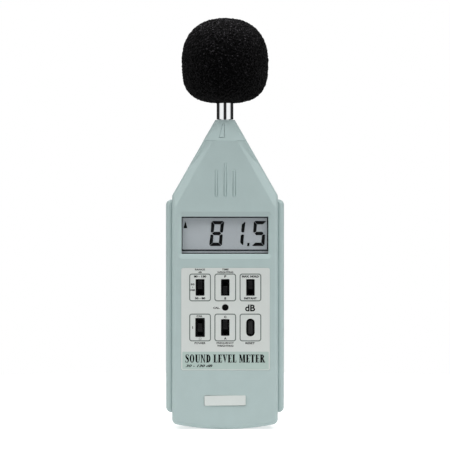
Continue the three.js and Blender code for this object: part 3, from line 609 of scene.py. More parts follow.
def battery_material(left, right):
    """Metal jacket of the block battery, with a printed coloured end band and a plain body."""
    n = material_nodes("battery_jacket")
    across = n.new("ShaderNodeSeparateXYZ", {"Vector": n.place}).outputs["X"]
    edge = left + (right - left) * 0.7
    band = n.spread(across, (edge - 0.1) * MM, (edge + 0.1) * MM)
    fine = n.noise(0.5, 2.0, 0.6, (0.2, 1, 1))
    tone = n.blend(band, linear(150, 155, 158), linear(66, 84, 98))
    tone = n.blend(n.spread(fine, 0.3, 0.7, 0.0, 0.25), tone, linear(110, 114, 118))
    gloss = n.spread(fine, 0.3, 0.7, 0.28, 0.42)
    return n.principled({"Base Color": tone, "Metallic": 0.75, "Roughness": gloss, "Normal": n.bump(fine, 0.2, 0.02)})


CASING = moulded("casing_plastic", linear(175, 193, 192), 0.42, grain=0.35, depth=0.018, spread=0.02)
LABEL_SHEET = moulded("label_sheet", linear(209, 214, 211), 0.38, grain=0.2, depth=0.006, spread=0.012, mottle=6.0)
BAND = moulded("label_band", linear(178, 196, 190), 0.38, grain=0.2, depth=0.006, spread=0.015, mottle=6.0)
PLATE_SHEET = moulded("plate_sheet", linear(214, 220, 217), 0.3, grain=0.3, depth=0.004, spread=0.012)
BLACK = moulded("black_plastic", linear(6, 6, 7), 0.24, grain=0.3, depth=0.006, spread=0.2, specular=0.2)
KNOB_BLACK = moulded("knob_plastic", linear(12, 12, 14), 0.4, grain=0.25, depth=0.015, spread=0.12, specular=0.3)
CHIP = moulded("chip_plastic", linear(30, 30, 33), 0.55, grain=0.25, depth=0.02, spread=0.1)
RUBBER = moulded("rubber", linear(74, 76, 78), 0.75, grain=0.4, depth=0.03, spread=0.06)
SLEEVE = moulded("capacitor_sleeve", linear(27, 37, 64), 0.35, grain=0.3, depth=0.006, spread=0.08)
TRIMMER_DARK = moulded("trimmer_plastic", linear(14, 15, 16), 0.4, grain=0.3, depth=0.01, spread=0.05, specular=0.3)
RED_LEAD = moulded("red_insulation", linear(172, 30, 30), 0.42, grain=0.4, depth=0.01, spread=0.06)
BLACK_LEAD = moulded("black_insulation", linear(24, 24, 26), 0.42, grain=0.4, depth=0.01, spread=0.1)
GREY_LEAD = moulded("grey_insulation", linear(104, 108, 110), 0.45, grain=0.4, depth=0.01, spread=0.06)
CHROME = metal("chrome", (0.7, 0.71, 0.72, 1), 0.05, (1, 1, 0.1), 1.2, 0.0006)
STEEL = metal("screw_steel", (0.62, 0.63, 0.65, 1), 0.24, (1, 1, 1), 0.5, 0.004)
BRASS = metal("brass", (0.72, 0.52, 0.22, 1), 0.22, (1, 1, 1), 0.6, 0.004)
INK = printed("label_ink", linear(9, 11, 11))
GREY_INK = printed("frame_ink", linear(96, 106, 102))
LCD = moulded("display_glass", linear(212, 214, 221), 0.3, grain=0.6, depth=0.0, spread=0.02, mottle=14.0)
LCD_INK = printed("display_segments", linear(2, 2, 3), 0.6)
# colour of the display's edge lines: painted shadow of the window's surround along the top and sides, the panel's dark
# edge below
LCD_LINE = printed("display_border", linear(34, 38, 40), 0.6)
FOAM = foam_material()
CLEAR = clear_material()
BOARD = board_material()
JACKET = battery_material(BATTERY["left"], BATTERY["right"])

# ---------------------------------------------------------------- casing halves


def slope_of(side):
    """Outward normal of the casing's sloping side, and a point on it."""
    return Vector((side * SLOPE_RISE, 0, SLOPE_RUN)) / SLOPE_LENGTH, Vector((side * NOSE_HALF_WIDTH, 0, NOSE_TOP))


def half_width_at(z):
    """Half the casing's width where its side slopes."""
    return NOSE_HALF_WIDTH + SLOPE_RUN * (NOSE_TOP - z) / SLOPE_RISE


def nose_facet(face, shift):
    """The sloping facet on the front (-1) or back (1) of the nose."""
    normal = (0, face * (NOSE_TOP - CREASE_Z), HALF_DEPTH - NOSE_HALF_DEPTH)
    return plane_of(normal, (0, face * HALF_DEPTH, CREASE_Z), shift)


def casing_planes(inset):
    """The casing's outer planes moved inwards by an inset, open at the nose."""
    planes = [nose_facet(face, -inset) for face in (-1, 1)]
    corner_x = HALF_WIDTH - CORNER_RADIUS
    for side in (-1, 1):
        slope, on_slope = slope_of(side)
        planes.append(plane_of((side, 0, 0), (side * HALF_WIDTH, 0, 0), -inset))
        planes.append(plane_of((0, side, 0), (0, side * HALF_DEPTH, 0), -inset))
        planes.append(plane_of(slope, on_slope, -inset))
        for face in (-1, 1):
            depth = Vector((0, face, 0))
            through = on_slope + depth * (HALF_DEPTH - BEVEL_DROP)
            planes.append(plane_of(slope * BEVEL_DROP + depth * BEVEL_WIDTH, through, -inset))
        centre = (side * corner_x, 0, BOTTOM_RISE + CORNER_RADIUS)
        for angle in (math.radians(30), math.radians(60)):
            planes.append(plane_of((side * math.cos(angle), 0, -math.sin(angle)), centre, CORNER_RADIUS - inset))
    for step in range(-4, 5):  # the bottom edge is a shallow curve
        x = corner_x * step / 4
        rise = 2 * BOTTOM_RISE * x / corner_x**2
        planes.append(plane_of((rise, 0, -1), (x, 0, BOTTOM_RISE * (x / corner_x) ** 2), -inset))
    return planes


def casing_block(inset, radius, top):
    planes = casing_planes(inset + radius)
    planes.append((Vector((0, 0, 1)), top))
    corners = plane_corners(planes)
    if radius:
        return rounded_hull(corners, radius, 6, [n for n, _ in planes])
    return hull(corners)


def rail_block(side):
    """Grip rail: a bar with a crowned face and rounded ends."""
    edge = 2.6
    bend = RAIL_CORNER - edge
    corners = []
    for z, sign in ((RAIL_Z[0], -1), (RAIL_Z[1], 1)):
        centre_z = z - sign * RAIL_CORNER
        for i in range(5):
            angle = math.pi / 2 * i / 4
            x = RAIL_HALF_WIDTH - RAIL_CORNER + bend * math.cos(angle)
            corners.append((x, centre_z + sign * bend * math.sin(angle)))
        corners.append((29.0, z - sign * RAIL_CORNER))
    points = [(side * x, y, z) for x, z in corners for y in (-RAIL_HALF_DEPTH + edge, RAIL_HALF_DEPTH - edge)]
    return rounded_hull(points, edge, 8)


def rail_groove(side, face):
    """Narrow groove between a rail's face and the casing's side."""
    x = side * (HALF_WIDTH + 0.25)
    y = face * (RAIL_HALF_DEPTH + 0.1)
    return rounded_hull([(x, y, RAIL_Z[0] - 2), (x, y, RAIL_Z[1] + 1)], 0.38, 4)


def rib_ends(index):
    """x, lower z and upper z of one of the three ribs on the front."""
    return index * 5.15 + 0.15, 134.7, 154.2 if index == 0 else 150.1


def front_rib(index):
    """Raised rib on the upper front face, which sinks into the face towards its top."""
    x, low, top = rib_ends(index)
    radius = 0.5
    points = [(x, -HALF_DEPTH - 0.45 + radius, low + radius), (x, -HALF_DEPTH - 0.22 + radius, top - radius)]
    points += [(x, -HALF_DEPTH + 1.2, low + radius), (x, -HALF_DEPTH + 1.2, top - radius)]
    return rounded_hull(points, radius, 6)


def rib_groove(index):
    """Shallow trough that a rib stands in; it runs out towards the top."""
    x, low, top = rib_ends(index)
    radius = 1.3
    deep, shallow = 0.5, 0.3
    points = [(x, -HALF_DEPTH - radius + deep, low + 0.9), (x, -HALF_DEPTH - radius + shallow, top - 0.6)]
    return rounded_hull(points, radius, 12)


def nose_mark(margin, low, high):
    """Thin tapering mark on the sloping nose facet, from one height off the facet to another."""
    along = Vector((0, HALF_DEPTH - NOSE_HALF_DEPTH, NOSE_TOP - CREASE_Z)).normalized()
    out = Vector((0, -along.z, along.y))
    foot_point = Vector((0, -HALF_DEPTH, CREASE_Z))
    bottom, top, right = 2.3 - margin, 10.7 + margin, -0.4 + margin
    outline = [(-3.2 - margin * 1.4, bottom), (right, bottom), (right, top), (-1.2 - margin, top)]
    return hull(
        [foot_point + Vector((x, 0, 0)) + along * up + out * level for x, up in outline for level in (low, high)]
    )


def control_cutters(margin, front, back):
    """Cutting tools for the slots of the switches, the reset button and the trimmer hole."""
    slots = [(x, z, width, height, 0.5) for _, x, z, width, height, _, _ in SWITCHES]
    slots.append((*RESET, RESET[2] / 2 + margin / 2 - 0.1))
    tools = [loft([(w + margin, h + margin, corner, y) for y in (front, back)], x, z) for x, z, w, h, corner in slots]
    return tools + [rod(TRIMMER_HOLE + margin / 4, front, back, (TRIMMER[0], 0, TRIMMER[1]))]


def recess(size, x, z, rings):
    """A cutter sunk into the front face, from rings (added width, added height, corner radius, depth)."""
    return loft([(size[0] + w, size[1] + h, corner, depth - HALF_DEPTH) for w, h, corner, depth in rings], x, z)


def lip_cutter():
    """The display opening: a bevelled surround and an edge that rolls into the opening."""
    bevel = [(0.4, 0.4, 2.6, -1.0), (0.1, 0.1, 2.5, -0.05), (-0.5, -0.7, 2.3, 0.12)]
    edge = [(0.9, 1.0, 1.0, 0.92), (0.3, 0.35, 0.6, 1.15), (0, 0, 0.4, 1.5), (0, 0, 0.4, 7.5)]
    rings = [(size[0] + w, size[1] + h, corner, depth - HALF_DEPTH)
             for size, steps in ((LIP, bevel), (OPENING, edge)) for w, h, corner, depth in steps]
    return loft(rings, 0, DISPLAY_Z)


def nose_block():
    """The nose above the crease, whose flat facets reach almost to its sides."""
    radius, proud = 0.4, 0.02
    inset = proud - radius
    planes = [nose_facet(face, inset) for face in (-1, 1)]
    for side in (-1, 1):
        slope, on_slope = slope_of(side)
        planes.append(plane_of(slope, on_slope, inset))
        for face in (-1, 1):
            fall = Vector((0, face * (NOSE_TOP - CREASE_Z), HALF_DEPTH - NOSE_HALF_DEPTH)).normalized()
            corner = Vector((side * half_width_at(CREASE_Z), face * HALF_DEPTH, CREASE_Z))
            planes.append(plane_of(slope * 1.1 + fall, corner - slope, inset))
    planes.append(plane_of((0, 0, -1), (0, 0, CREASE_Z), inset))
    planes.append(plane_of((0, 0, 1), (0, 0, NOSE_TOP + 3), inset))
    return rounded_hull(plane_corners(planes), radius, 5, [n for n, _ in planes])


def gusset(side, face):
    """Fills the bevelled band under the nose's lower corner, so that the band twists into it."""
    low, high = GUSSET_LOW_Z, CREASE_Z + 0.1
    low_half, high_half = half_width_at(low), half_width_at(CREASE_Z)
    inner = high_half - BEVEL_WIDTH * SLOPE_LENGTH / SLOPE_RISE - 1.5
    depth = HALF_DEPTH - BEVEL_DROP
    points = [
        (inner, HALF_DEPTH, high), (high_half - 1.3, HALF_DEPTH - 0.1, high), (high_half - 0.5, HALF_DEPTH - 0.9, high),
        (high_half - 0.9, depth, high), (low_half - 1.1, depth - 0.1, low), (low_half - 2.0, depth - 1.5, low),
        (inner, HALF_DEPTH - 2, high),
    ]
    return hull([(side * x, face * y, z) for x, y, z in points])


def slab(low_y, high_y, low_z, high_z):
    """A block that is wider than the casing."""
    return block((-FAR, low_y, low_z), (FAR, high_y, high_z))


SIDES_AND_FACES = tuple(product((-1, 1), (-1, 1)))
outer = casing_block(0.0, EDGE_RADIUS, NOSE_TOP + 4.0)
outer = add(outer, rail_block(-1), rail_block(1), nose_block())
outer = add(outer, *(gusset(*pair) for pair in SIDES_AND_FACES))
outer = cut(outer, *(rail_groove(*pair) for pair in SIDES_AND_FACES))
trim = meet(casing_block(WALL / 2, 0.0, NOSE_TOP - 1.0), slab(-FAR, FAR, -1, NOSE_TOP - 1))
shell = cut(outer, casing_block(WALL, 0.0, CAVITY_TOP))
barrel_bore = rod(BARREL_BORE_RADIUS, 160, NOSE_TOP + 5, (0, 0, 0), axis="Z")
cradle = slab(-FAR, FAR, *CRADLE_Z)
lead_notch = block((LEAD_NOTCH_X[0], -FAR, DIVIDER_Z[0] - 1.5), (LEAD_NOTCH_X[1], FAR, DIVIDER_Z[1] + 1.9))
battery_wall = cut(slab(-FAR, FAR, *DIVIDER_Z), lead_notch)
shell = add(shell, meet(joined(cradle, battery_wall), trim))


def parting_lip():
    """Thin lip of the front half that closes the parting line from inside."""
    root, lip = (
        cut(
            meet(casing_block(WALL + inset, 0.0, CAVITY_TOP), slab(low, high, -5, CAVITY_TOP - 0.2)),
            casing_block(WALL + 0.6, 0.0, CAVITY_TOP),
        )
        for inset, low, high in ((-0.3, -1.3, -GAP / 2), (0.05, -0.6, 1.4))
    )
    rear_ribs = [slab(-GAP / 2, FAR, low - GAP, high + GAP) for low, high in (CRADLE_Z, DIVIDER_Z)]
    return cut(add(root, lip), *rear_ribs)


def half_of(whole, face):
    low, high = (-FAR, -GAP / 2) if face < 0 else (GAP / 2, FAR)
    return meet(whole, slab(low, high, -5, NOSE_TOP))


def screw_rods(places, radius, low, high, sides=48):
    return [rod(radius, low, high, (x, 0, z), sides) for x, z in places]


def make_front():
    inside = 1 - HALF_DEPTH
    bosses = screw_rods(CASING_SCREWS, BOSS_RADIUS, inside, -GAP / 2)
    posts = screw_rods(BOARD_SCREWS, 2.2, inside, BOARD_FRONT, 32)
    battery_ribs = [block((-22, inside, z), (22, -8.9, z + 1.6)) for z in (12, 26)]
    shape = add(half_of(shell, -1), parting_lip(), *bosses, *posts, *battery_ribs)
    shape = cut(shape, *(rib_groove(i) for i in (-1, 0, 1)))
    shape = cut(shape, nose_mark(0.2, -0.4, 2.0))
    shape = add(shape, *(front_rib(i) for i in (-1, 0, 1)), nose_mark(0.0, -0.9, 0.3))
    pilots = screw_rods(CASING_SCREWS, PILOT_RADIUS, -8, 1, 24) + screw_rods(BOARD_SCREWS, 1.1, -9, 0, 20)
    label_rings = [(0.5, 0.8, 1.6, -0.3), (0.3, 0.6, 1.5, 0), (0, 0.3, 1.35, 0.15), (0, 0.3, 1.35, LABEL_RECESS)]
    plate_rings = [(0.8, 0.8, 0.9, -0.3), (0.5, 0.5, 0.8, 0), (0.2, 0.2, 0.7, 0.12), (0.2, 0.2, 0.7, 0.5)]
    recesses = recess(LABEL, LABEL_X, LABEL_Z, label_rings), recess(PLATE, 0, PLATE_Z, plate_rings)
    holes = control_cutters(0.4, -HALF_DEPTH - 1, -9.0)
    return cut(shape, lip_cutter(), *recesses, *holes, *pilots, barrel_bore)


def stepped_bore(radius, floor_y, chamfer, sides, place):
    """A flat-bottomed hole sunk into the back, with a chamfered mouth."""
    back, mouth = HALF_DEPTH, radius + chamfer
    top = back + 2
    profile = [(0, floor_y), (radius, floor_y), (radius, back - chamfer), (mouth, back), (mouth, top), (0, top)]
    return lathe(profile, sides, "Y", place)


def make_rear():
    back, inside = HALF_DEPTH, HALF_DEPTH - 1
    bosses = screw_rods(CASING_SCREWS, BOSS_RADIUS, GAP / 2, inside)
    tripod_boss = rod(7.2, 3.2, inside, (0, 0, TRIPOD_Z), 64)
    shape = add(half_of(shell, 1), *bosses, tripod_boss)
    tools = screw_rods(CASING_SCREWS, PILOT_RADIUS, -1, FAR, 24)
    tools += [stepped_bore(3.0, 9.0, 0.35, 48, (x, 0, z)) for x, z in CASING_SCREWS]
    tools.append(stepped_bore(4.9, 4.4, 0.3, 64, (0, 0, TRIPOD_Z)))
    half, bottom, top = BATTERY_OPENING
    ledge = back - 0.9 - GAP
    tools.append(block((-half, 1, bottom), (half, FAR, top)))
    tools.append(block((-half, ledge, top - 1), (half, FAR, TONGUE_TOP + GAP)))
    finger_dip = [(14, 8, 3.5, ledge), (14, 8, 3.5, back - 0.4), (15, 9, 4.0, back), (15, 9, 4.0, back + 1)]
    tools.append(loft(finger_dip, 0, TONGUE_TOP))
    return cut(shape, *tools, barrel_bore)


piece("front_casing_shell", make_front(), CASING, "casing", ["front_casing"])
piece("rear_casing_shell", make_rear(), CASING, "casing", ["rear_casing"])


def make_cover():
    """Battery cover: a plate with a thin tongue, two hooks and a ribbed thumb patch."""
    half, back = BATTERY_OPENING[0] - GAP, HALF_DEPTH
    bottom, top = BATTERY_OPENING[1] + GAP, BATTERY_OPENING[2] - GAP
    parts = [soft_block((-half, back - 0.9, top - 3), (half, back, TONGUE_TOP), 0.3, 3)]
    hook = back - WALL - GAP
    for x in (-18, 18):
        parts.append(soft_block((x - 3, hook - 0.8, bottom - 2), (x + 3, hook, bottom + 1.5), 0.15, 2))
        parts.append(soft_block((x - 3, hook - 0.8, bottom), (x + 3, back - 1.5, bottom + 1.5), 0.15, 2))
    grooves = []
    for index in range(5):
        reach, z = 8 - index * 0.9, 29.6 - index * 2.2
        grooves.append(soft_block((-reach, back - 0.45, z - 0.55), (reach, back + 1, z + 0.55), 0.3, 3))
    return cut(add(soft_block((-half, back - 2, bottom), (half, back, top), 0.35, 3), *parts), *grooves)


piece("battery_cover_plate", make_cover(), CASING, "battery_cover", ["battery_cover"])

# ---------------------------------------------------------------- label, printing and blank plate

LABEL_FRONT = -HALF_DEPTH
BAND_FRONT = LABEL_FRONT - 0.02
PRINT = 0.03  # how far ink stands proud of what it is printed on


def make_label():
    back = LABEL_FRONT + LABEL_THICKNESS
    sheet = eased(LABEL[0] - 0.06, LABEL[1] + 0.24, 1.3, LABEL_FRONT, back, 0.1, LABEL_X, LABEL_Z)
    return cut(sheet, *control_cutters(0.16, LABEL_FRONT - 1, LABEL_FRONT + 1))


def printed_frame(x, z):
    width, height, ink = 12.5, 16.0, 1.1
    lines = ring_points(width, height, 1.5), ring_points(width - ink, height - ink, 1.0)
    outer_line, inner_line = ([(px + x, pz + z) for px, pz in line] for line in lines)
    return flat_band(outer_line, inner_line, LABEL_FRONT - PRINT, LABEL_FRONT + 0.01)


def small_text(text, x, z, height, width=None, bold=0.0, shear=0.0, level=LABEL_FRONT):
    """Words set in Blender's own font, centred on (x, z), with capitals of the given height."""
    curve = bpy.data.curves.new("words", "FONT")
    curve.body = text
    curve.shear = shear
    curve.offset = bold
    curve.resolution_u = 3
    curve.fill_mode = "BOTH"
    curve.extrude = 0.02
    curve.align_x = "CENTER"
    holder = bpy.data.objects.new("words", curve)
    bpy.context.scene.collection.objects.link(holder)
    graph = bpy.context.evaluated_depsgraph_get()
    mesh = bpy.data.meshes.new_from_object(holder.evaluated_get(graph), depsgraph=graph)
    bpy.data.objects.remove(holder)
    places = np.array([v.co for v in mesh.vertices], float)
    low, high = places.min(0), places.max(0)
    up = height / (high[1] - low[1])
    across = width / (high[0] - low[0]) if width else up
    deep = (PRINT + 0.01) / (high[2] - low[2])
    middle = (low + high) / 2
    for v in mesh.vertices:
        px, py, pz = (v.co[i] - middle[i] for i in range(3))
        v.co = (x + px * across, level - PRINT / 2 + 0.005 - pz * deep, z + py * up)
    mesh.materials.clear()
    bm = to_bmesh(mesh)
    bmesh.ops.remove_doubles(bm, verts=bm.verts, dist=1e-4)
    return from_bmesh(bm)


# A bold serif face drawn in code. Glyphs stand 1 high; each part is a list of (x, z) points.
THICK, THIN, SERIF = 0.25, 0.095, 0.07
LETTER_SPACE, WORD_SPACE = 0.03, 0.3


def bar(x0, z0, x1, z1):
    return [(x0, z0), (x1, z0), (x1, z1), (x0, z1)]


def foot(x0, x1, z):
    """A serif under or over a stem."""
    return bar(x0 - 0.07, 0, x1 + 0.07, SERIF) if z == 0 else bar(x0 - 0.07, 1 - SERIF, x1 + 0.07, 1)


def stem(x0, width, low=True, high=True):
    parts = [bar(x0, 0, x0 + width, 1)]
    parts += [foot(x0, x0 + width, 0)] if low else []
    parts += [foot(x0, x0 + width, 1)] if high else []
    return parts


def arc(cx, cz, rx, rz, start, end, steps=18, power=1.0):
    points = []
    for i in range(steps + 1):
        angle = math.radians(start + (end - start) * i / steps)
        c, s = math.cos(angle), math.sin(angle)
        points.append(
            (cx + rx * math.copysign(abs(c) ** power, c), cz + rz * math.copysign(abs(s) ** power, s))
        )
    return points


def stroke(path):
    """A pen stroke through (x, z, half width) stations, as an outer and an inner line."""
    fine = smooth_line(path, 4)
    left, right = [], []
    for i, p in enumerate(fine):
        ahead = fine[min(i + 1, len(fine) - 1)] - fine[max(i - 1, 0)]
        normal = Vector((-ahead.y, ahead.x)).normalized()
        left.append((p.x + normal.x * p.z, p.y + normal.y * p.z))
        right.append((p.x - normal.x * p.z, p.y - normal.y * p.z))
    return left, right


def glyph(letter):
    """(width, filled outlines, bands) of one capital."""
    solid, bands = [], []
    if letter in "EL":
        width = 0.62
        solid = stem(0.1, THICK) + [bar(0.2, 0, 0.6, SERIF), [(0.5, 0), (0.6, 0), (0.6, 0.3), (0.56, 0.3)]]
        if letter == "E":
            solid += [bar(0.2, 1 - SERIF, 0.58, 1), [(0.48, 1), (0.58, 1), (0.58, 0.72), (0.54, 0.72)]]
            solid += [bar(0.3, 0.475, 0.5, 0.535), [(0.44, 0.505), (0.5, 0.36), (0.5, 0.65)]]
    elif letter == "T":
        width = 0.66
        solid = stem(0.215, THICK, True, False) + [bar(0.03, 1 - SERIF, 0.63, 1)]
        solid += [[(0.03, 1), (0.12, 1), (0.06, 0.72), (0.03, 0.72)], [(0.63, 1), (0.54, 1), (0.6, 0.72), (0.63, 0.72)]]
    elif letter == "N":
        width = 0.76
        solid = stem(0.12, THIN, True, True) + stem(0.58, THIN, False, True)
        solid += [[(0.08, 1), (0.31, 1), (0.655, 0.0), (0.55, 0.0)]]
    elif letter == "M":
        width = 0.95
        solid = stem(0.12, THIN) + stem(0.64, THICK)
        solid += [[(0.06, 1), (0.33, 1), (0.52, 0.2), (0.43, 0.0)], [(0.43, 0.0), (0.49, 0.0), (0.72, 1), (0.64, 1)]]
    elif letter == "V":
        width = 0.72
        solid = [[(0.08, 1), (0.34, 1), (0.46, 0.3), (0.37, 0.0)], [(0.36, 0.0), (0.41, 0.0), (0.64, 1), (0.57, 1)]]
        solid += [bar(0.01, 1 - SERIF, 0.41, 1), bar(0.48, 1 - SERIF, 0.73, 1)]
    elif letter == "U":
        width = 0.74
        solid = [bar(0.1, 0.3, 0.1 + THICK, 1), bar(0.57, 0.3, 0.57 + THIN, 1)]
        solid += [bar(0.03, 1 - SERIF, 0.4, 1), bar(0.5, 1 - SERIF, 0.72, 1)]
        bands = [(arc(0.3725, 0.31, 0.2725, 0.325, 180, 360), arc(0.45, 0.31, 0.12, 0.24, 180, 360), False)]
    elif letter == "D":
        width = 0.72
        solid = stem(0.1, THICK, True, True)
        outer = arc(0.3, 0.5, 0.38, 0.5, -90, 90)
        inner = arc(0.3, 0.5, 0.145, 0.435, -90, 90)
        bands = [(outer, inner, False)]
    elif letter == "O":
        width = 0.74
        bands = [(arc(0.37, 0.5, 0.33, 0.52, 0, 350, 35), arc(0.37, 0.5, 0.11, 0.45, 0, 350, 35), True)]
    elif letter == "R":
        width = 0.76
        solid = stem(0.1, THICK, True, True) + [[(0.3, 0.52), (0.5, 0.52), (0.76, 0.0), (0.52, 0.0)]]
        solid += [bar(0.55, 0, 0.8, SERIF)]
        bands = [(arc(0.3, 0.745, 0.33, 0.255, -90, 90), arc(0.3, 0.745, 0.1, 0.19, -90, 90), False)]
    elif letter == "S":
        width = 0.6
        path = [
            (0.5, 0.79, 0.02), (0.44, 0.92, 0.03), (0.3, 0.975, 0.035), (0.165, 0.915, 0.06), (0.14, 0.79, 0.085),
            (0.21, 0.66, 0.115), (0.32, 0.53, 0.13), (0.43, 0.4, 0.12), (0.465, 0.25, 0.09), (0.42, 0.1, 0.06),
            (0.28, 0.02, 0.035), (0.14, 0.09, 0.03), (0.07, 0.24, 0.02),
        ]
        bands = [(*stroke(path), False)]
        solid = [[(0.47, 1.0), (0.53, 1.0), (0.53, 0.7), (0.5, 0.7)]]
        solid += [[(0.05, 0.0), (0.11, 0.0), (0.07, 0.3), (0.04, 0.3)]]
    return width, solid, bands


def title(text, left, right, bottom, top, level):
    """The title set in the serif face, stretched to fill its box."""
    pen, placed = 0.0, []
    for letter in text:
        if letter == " ":
            pen += WORD_SPACE
            continue
        width, solid, bands = glyph(letter)
        placed.append((pen, solid, bands))
        pen += width + LETTER_SPACE
    across = (right - left) / (pen - LETTER_SPACE)
    up = top - bottom
    front, back = level - PRINT, level + 0.01
    meshes = []
    for start, solid, bands in placed:
        place = lambda line, start=start: [(left + (start + px) * across, bottom + pz * up) for px, pz in line]
        parts = [flat_shape(place(outline), front, back) for outline in solid]
        parts += [flat_band(place(a), place(b), front, back, closed) for a, b, closed in bands]
        meshes.append(boolean(parts[0], parts[1:], "UNION") if len(parts) > 1 else parts[0])
    return joined(*meshes)


piece("faceplate_label_sheet", make_label(), LABEL_SHEET, "casing", ["faceplate_label"])
frames = [printed_frame(x, z) for x in COLUMNS for z in (UPPER, LOWER)]
piece("label_frames", joined(*frames), GREY_INK, "casing")
BAND_LEFT, BAND_RIGHT, BAND_LOW, BAND_HIGH = -24.65, 25.25, 34.75, 45.0
band_mesh = eased(
    BAND_RIGHT - BAND_LEFT, BAND_HIGH - BAND_LOW, 0.5, BAND_FRONT, LABEL_FRONT + 0.01, 0.005,
    (BAND_LEFT + BAND_RIGHT) / 2, (BAND_LOW + BAND_HIGH) / 2,
)
piece("label_title_band", band_mesh, BAND, "casing")
title_mesh = title("SOUND LEVEL METER", -23.1, 23.1, 38.75, 43.4, BAND_FRONT)
piece("label_title", title_mesh, INK, "casing")
# text, x, z, height of the capitals, width, boldness (and slant, level)
WORDS = (
    ("30 - 130 dB", -15.0, 36.85, 1.5, 15.6, 0.03, 0.35, BAND_FRONT),
    ("RANGE", -14.4, 92.5, 1.05, 5.8, 0.03),
    ("dB", -14.4, 90.95, 0.95, 1.9, 0.03),
    ("80 - 130", -14.4, 88.5, 1.2, 7.1, 0.05),
    ("50", -18.75, 83.95, 1.1, 2.2, 0.04),
    ("I", -18.7, 82.25, 0.8, 0.22, 0.0),
    ("100", -18.75, 80.6, 1.1, 3.0, 0.04),
    ("30 - 80", -14.4, 75.9, 1.2, 6.0, 0.05),
    ("TIME", 0.15, 92.5, 1.05, 3.9, 0.03),
    ("WEIGHTING", 0.15, 90.95, 1.05, 9.3, 0.03),
    ("F", 0.15, 88.5, 1.3, 1.1, 0.05),
    ("S", 0.15, 75.8, 1.3, 1.2, 0.05),
    ("MAX. HOLD", 14.7, 88.5, 1.25, 9.8, 0.06),
    ("INSTANT", 14.7, 75.85, 1.2, 7.4, 0.05),
    ("CAL.", -4.9, 70.35, 1.2, 3.8, 0.04),
    ("CAL", -14.7, 65.55, 1.15, 3.5, 0.04),
    ("I", -18.7, 59.0, 1.4, 0.36, 0.0),
    ("O", -14.35, 52.45, 1.5, 1.5, 0.0),
    ("POWER", -14.4, 49.95, 1.15, 6.4, 0.03),
    ("C", 0.15, 65.1, 1.3, 1.3, 0.05),
    ("A", 0.15, 52.7, 1.3, 1.4, 0.05),
    ("FREQUENCY", 0.15, 49.95, 1.1, 10.0, 0.03),
    ("WEIGHTING", 0.15, 48.4, 1.1, 9.4, 0.03),
    ("RESET", 14.5, 49.95, 1.15, 5.4, 0.03),
    ("dB", 14.5, 70.3, 3.9, 5.8, 0.03),
)
piece("label_lettering", joined(*(small_text(*row) for row in WORDS)), INK, "casing")

plate_mesh = eased(PLATE[0], PLATE[1], 0.5, -12.9, -12.3, 0.16, back_edge=0.05)
plate_mesh.transform(Matrix.Rotation(math.radians(-0.6), 4, "Y"))
piece("blank_plate_sheet", moved(plate_mesh, 0.05, 0, PLATE_Z), PLATE_SHEET, "casing", ["blank_plate"])

# ---------------------------------------------------------------- display

pane = eased(WINDOW[0], WINDOW[1], 0.6, WINDOW_Y, WINDOW_Y + WINDOW[2], 0.12, 0, DISPLAY_Z, back_edge=0.12)
piece("display_window_pane", pane, CLEAR, "casing", ["display_window"])
panel = eased(PANEL[0], PANEL[1], 0.3, PANEL_Y, PANEL_Y + PANEL[2], 0.15, 0, DISPLAY_Z, back_edge=0.1)
piece("display_panel_glass", panel, LCD, "casing", ["display_panel"])

DIGIT_HEIGHT, DIGIT_WIDTH, DIGIT_BAR = 14.5, 7.4, 1.95
DIGIT_BOTTOM = 106.0
SLANT = math.tan(math.radians(5.5))


def segment_outlines():
    """The seven segments of a digit, named a to g, on a cell with its origin at the lower left."""
    w, h, t, k, s = DIGIT_WIDTH, DIGIT_HEIGHT, DIGIT_BAR, 0.75, 0.1
    m = h / 2
    top = [(k, h), (w - k, h), (w - k / 2 - s, h - k / 2), (w - t - s, h - t), (t + s, h - t), (k / 2 + s, h - k / 2)]
    right = [
        (w, h - k), (w - k / 2, h - k / 2 - s), (w - t, h - t - s), (w - t, m + t / 2 + s),
        (w - t / 2, m + t * 0.2 + s), (w - 0.15, m + t * 0.4),
    ]
    bar_middle = [
        (t + s, m + t / 2), (w - t - s, m + t / 2), (w - t / 2 - s, m), (w - t - s, m - t / 2),
        (t + s, m - t / 2), (t / 2 + s, m),
    ]
    flip_x = lambda line: [(w - x, z) for x, z in reversed(line)]
    flip_z = lambda line: [(x, h - z) for x, z in reversed(line)]
    return {
        "a": top, "b": right, "c": flip_z(right), "d": flip_z(top),
        "e": flip_x(flip_z(right)), "f": flip_x(right), "g": bar_middle,
    }


def make_digits():
    outlines = segment_outlines()
    shapes = []

    def ink(outline):
        shapes.append(flat_shape(outline, PANEL_Y - 0.05, PANEL_Y + 0.02))

    for centre, lit in ((-4.8, "abcdefg"), (7.5, "bc"), (19.75, "acdfg")):
        left = centre - DIGIT_WIDTH / 2
        for name in lit:
            ink([(left + x + z * SLANT - DIGIT_HEIGHT / 2 * SLANT, DIGIT_BOTTOM + z) for x, z in outlines[name]])
    ink([(12.75 + x + z * SLANT, DIGIT_BOTTOM - 0.1 + z) for x, z in bar(0.0, 0.0, 1.3, 1.9)])
    ink([(-24.05, 116.3), (-21.75, 116.3), (-22.8, 120.1), (-23.0, 120.1)])
    return joined(*shapes)


piece("display_segments", make_digits(), LCD_INK, "casing")


def make_display_border():
    """Dark lines along the edges of what can be seen of the display: the top and side lines are painted shadow of the
    window's surround, the two lower lines the panel's own dark edge.
    """
    left, right = -25.4, 25.4
    lines = [(left, z0, right, z1) for z0, z1 in ((122.25, 123.4), (103.1, 103.95), (101.0, 101.95))]
    lines += [(left, 104.0, -24.6, 122.2), (24.3, 104.0, right, 122.2)]
    return joined(*(flat_shape(bar(*line), PANEL_Y - 0.03, PANEL_Y + 0.02) for line in lines))


piece("display_border", make_display_border(), LCD_LINE, "casing")

# ---------------------------------------------------------------- switches, reset button, trimmer


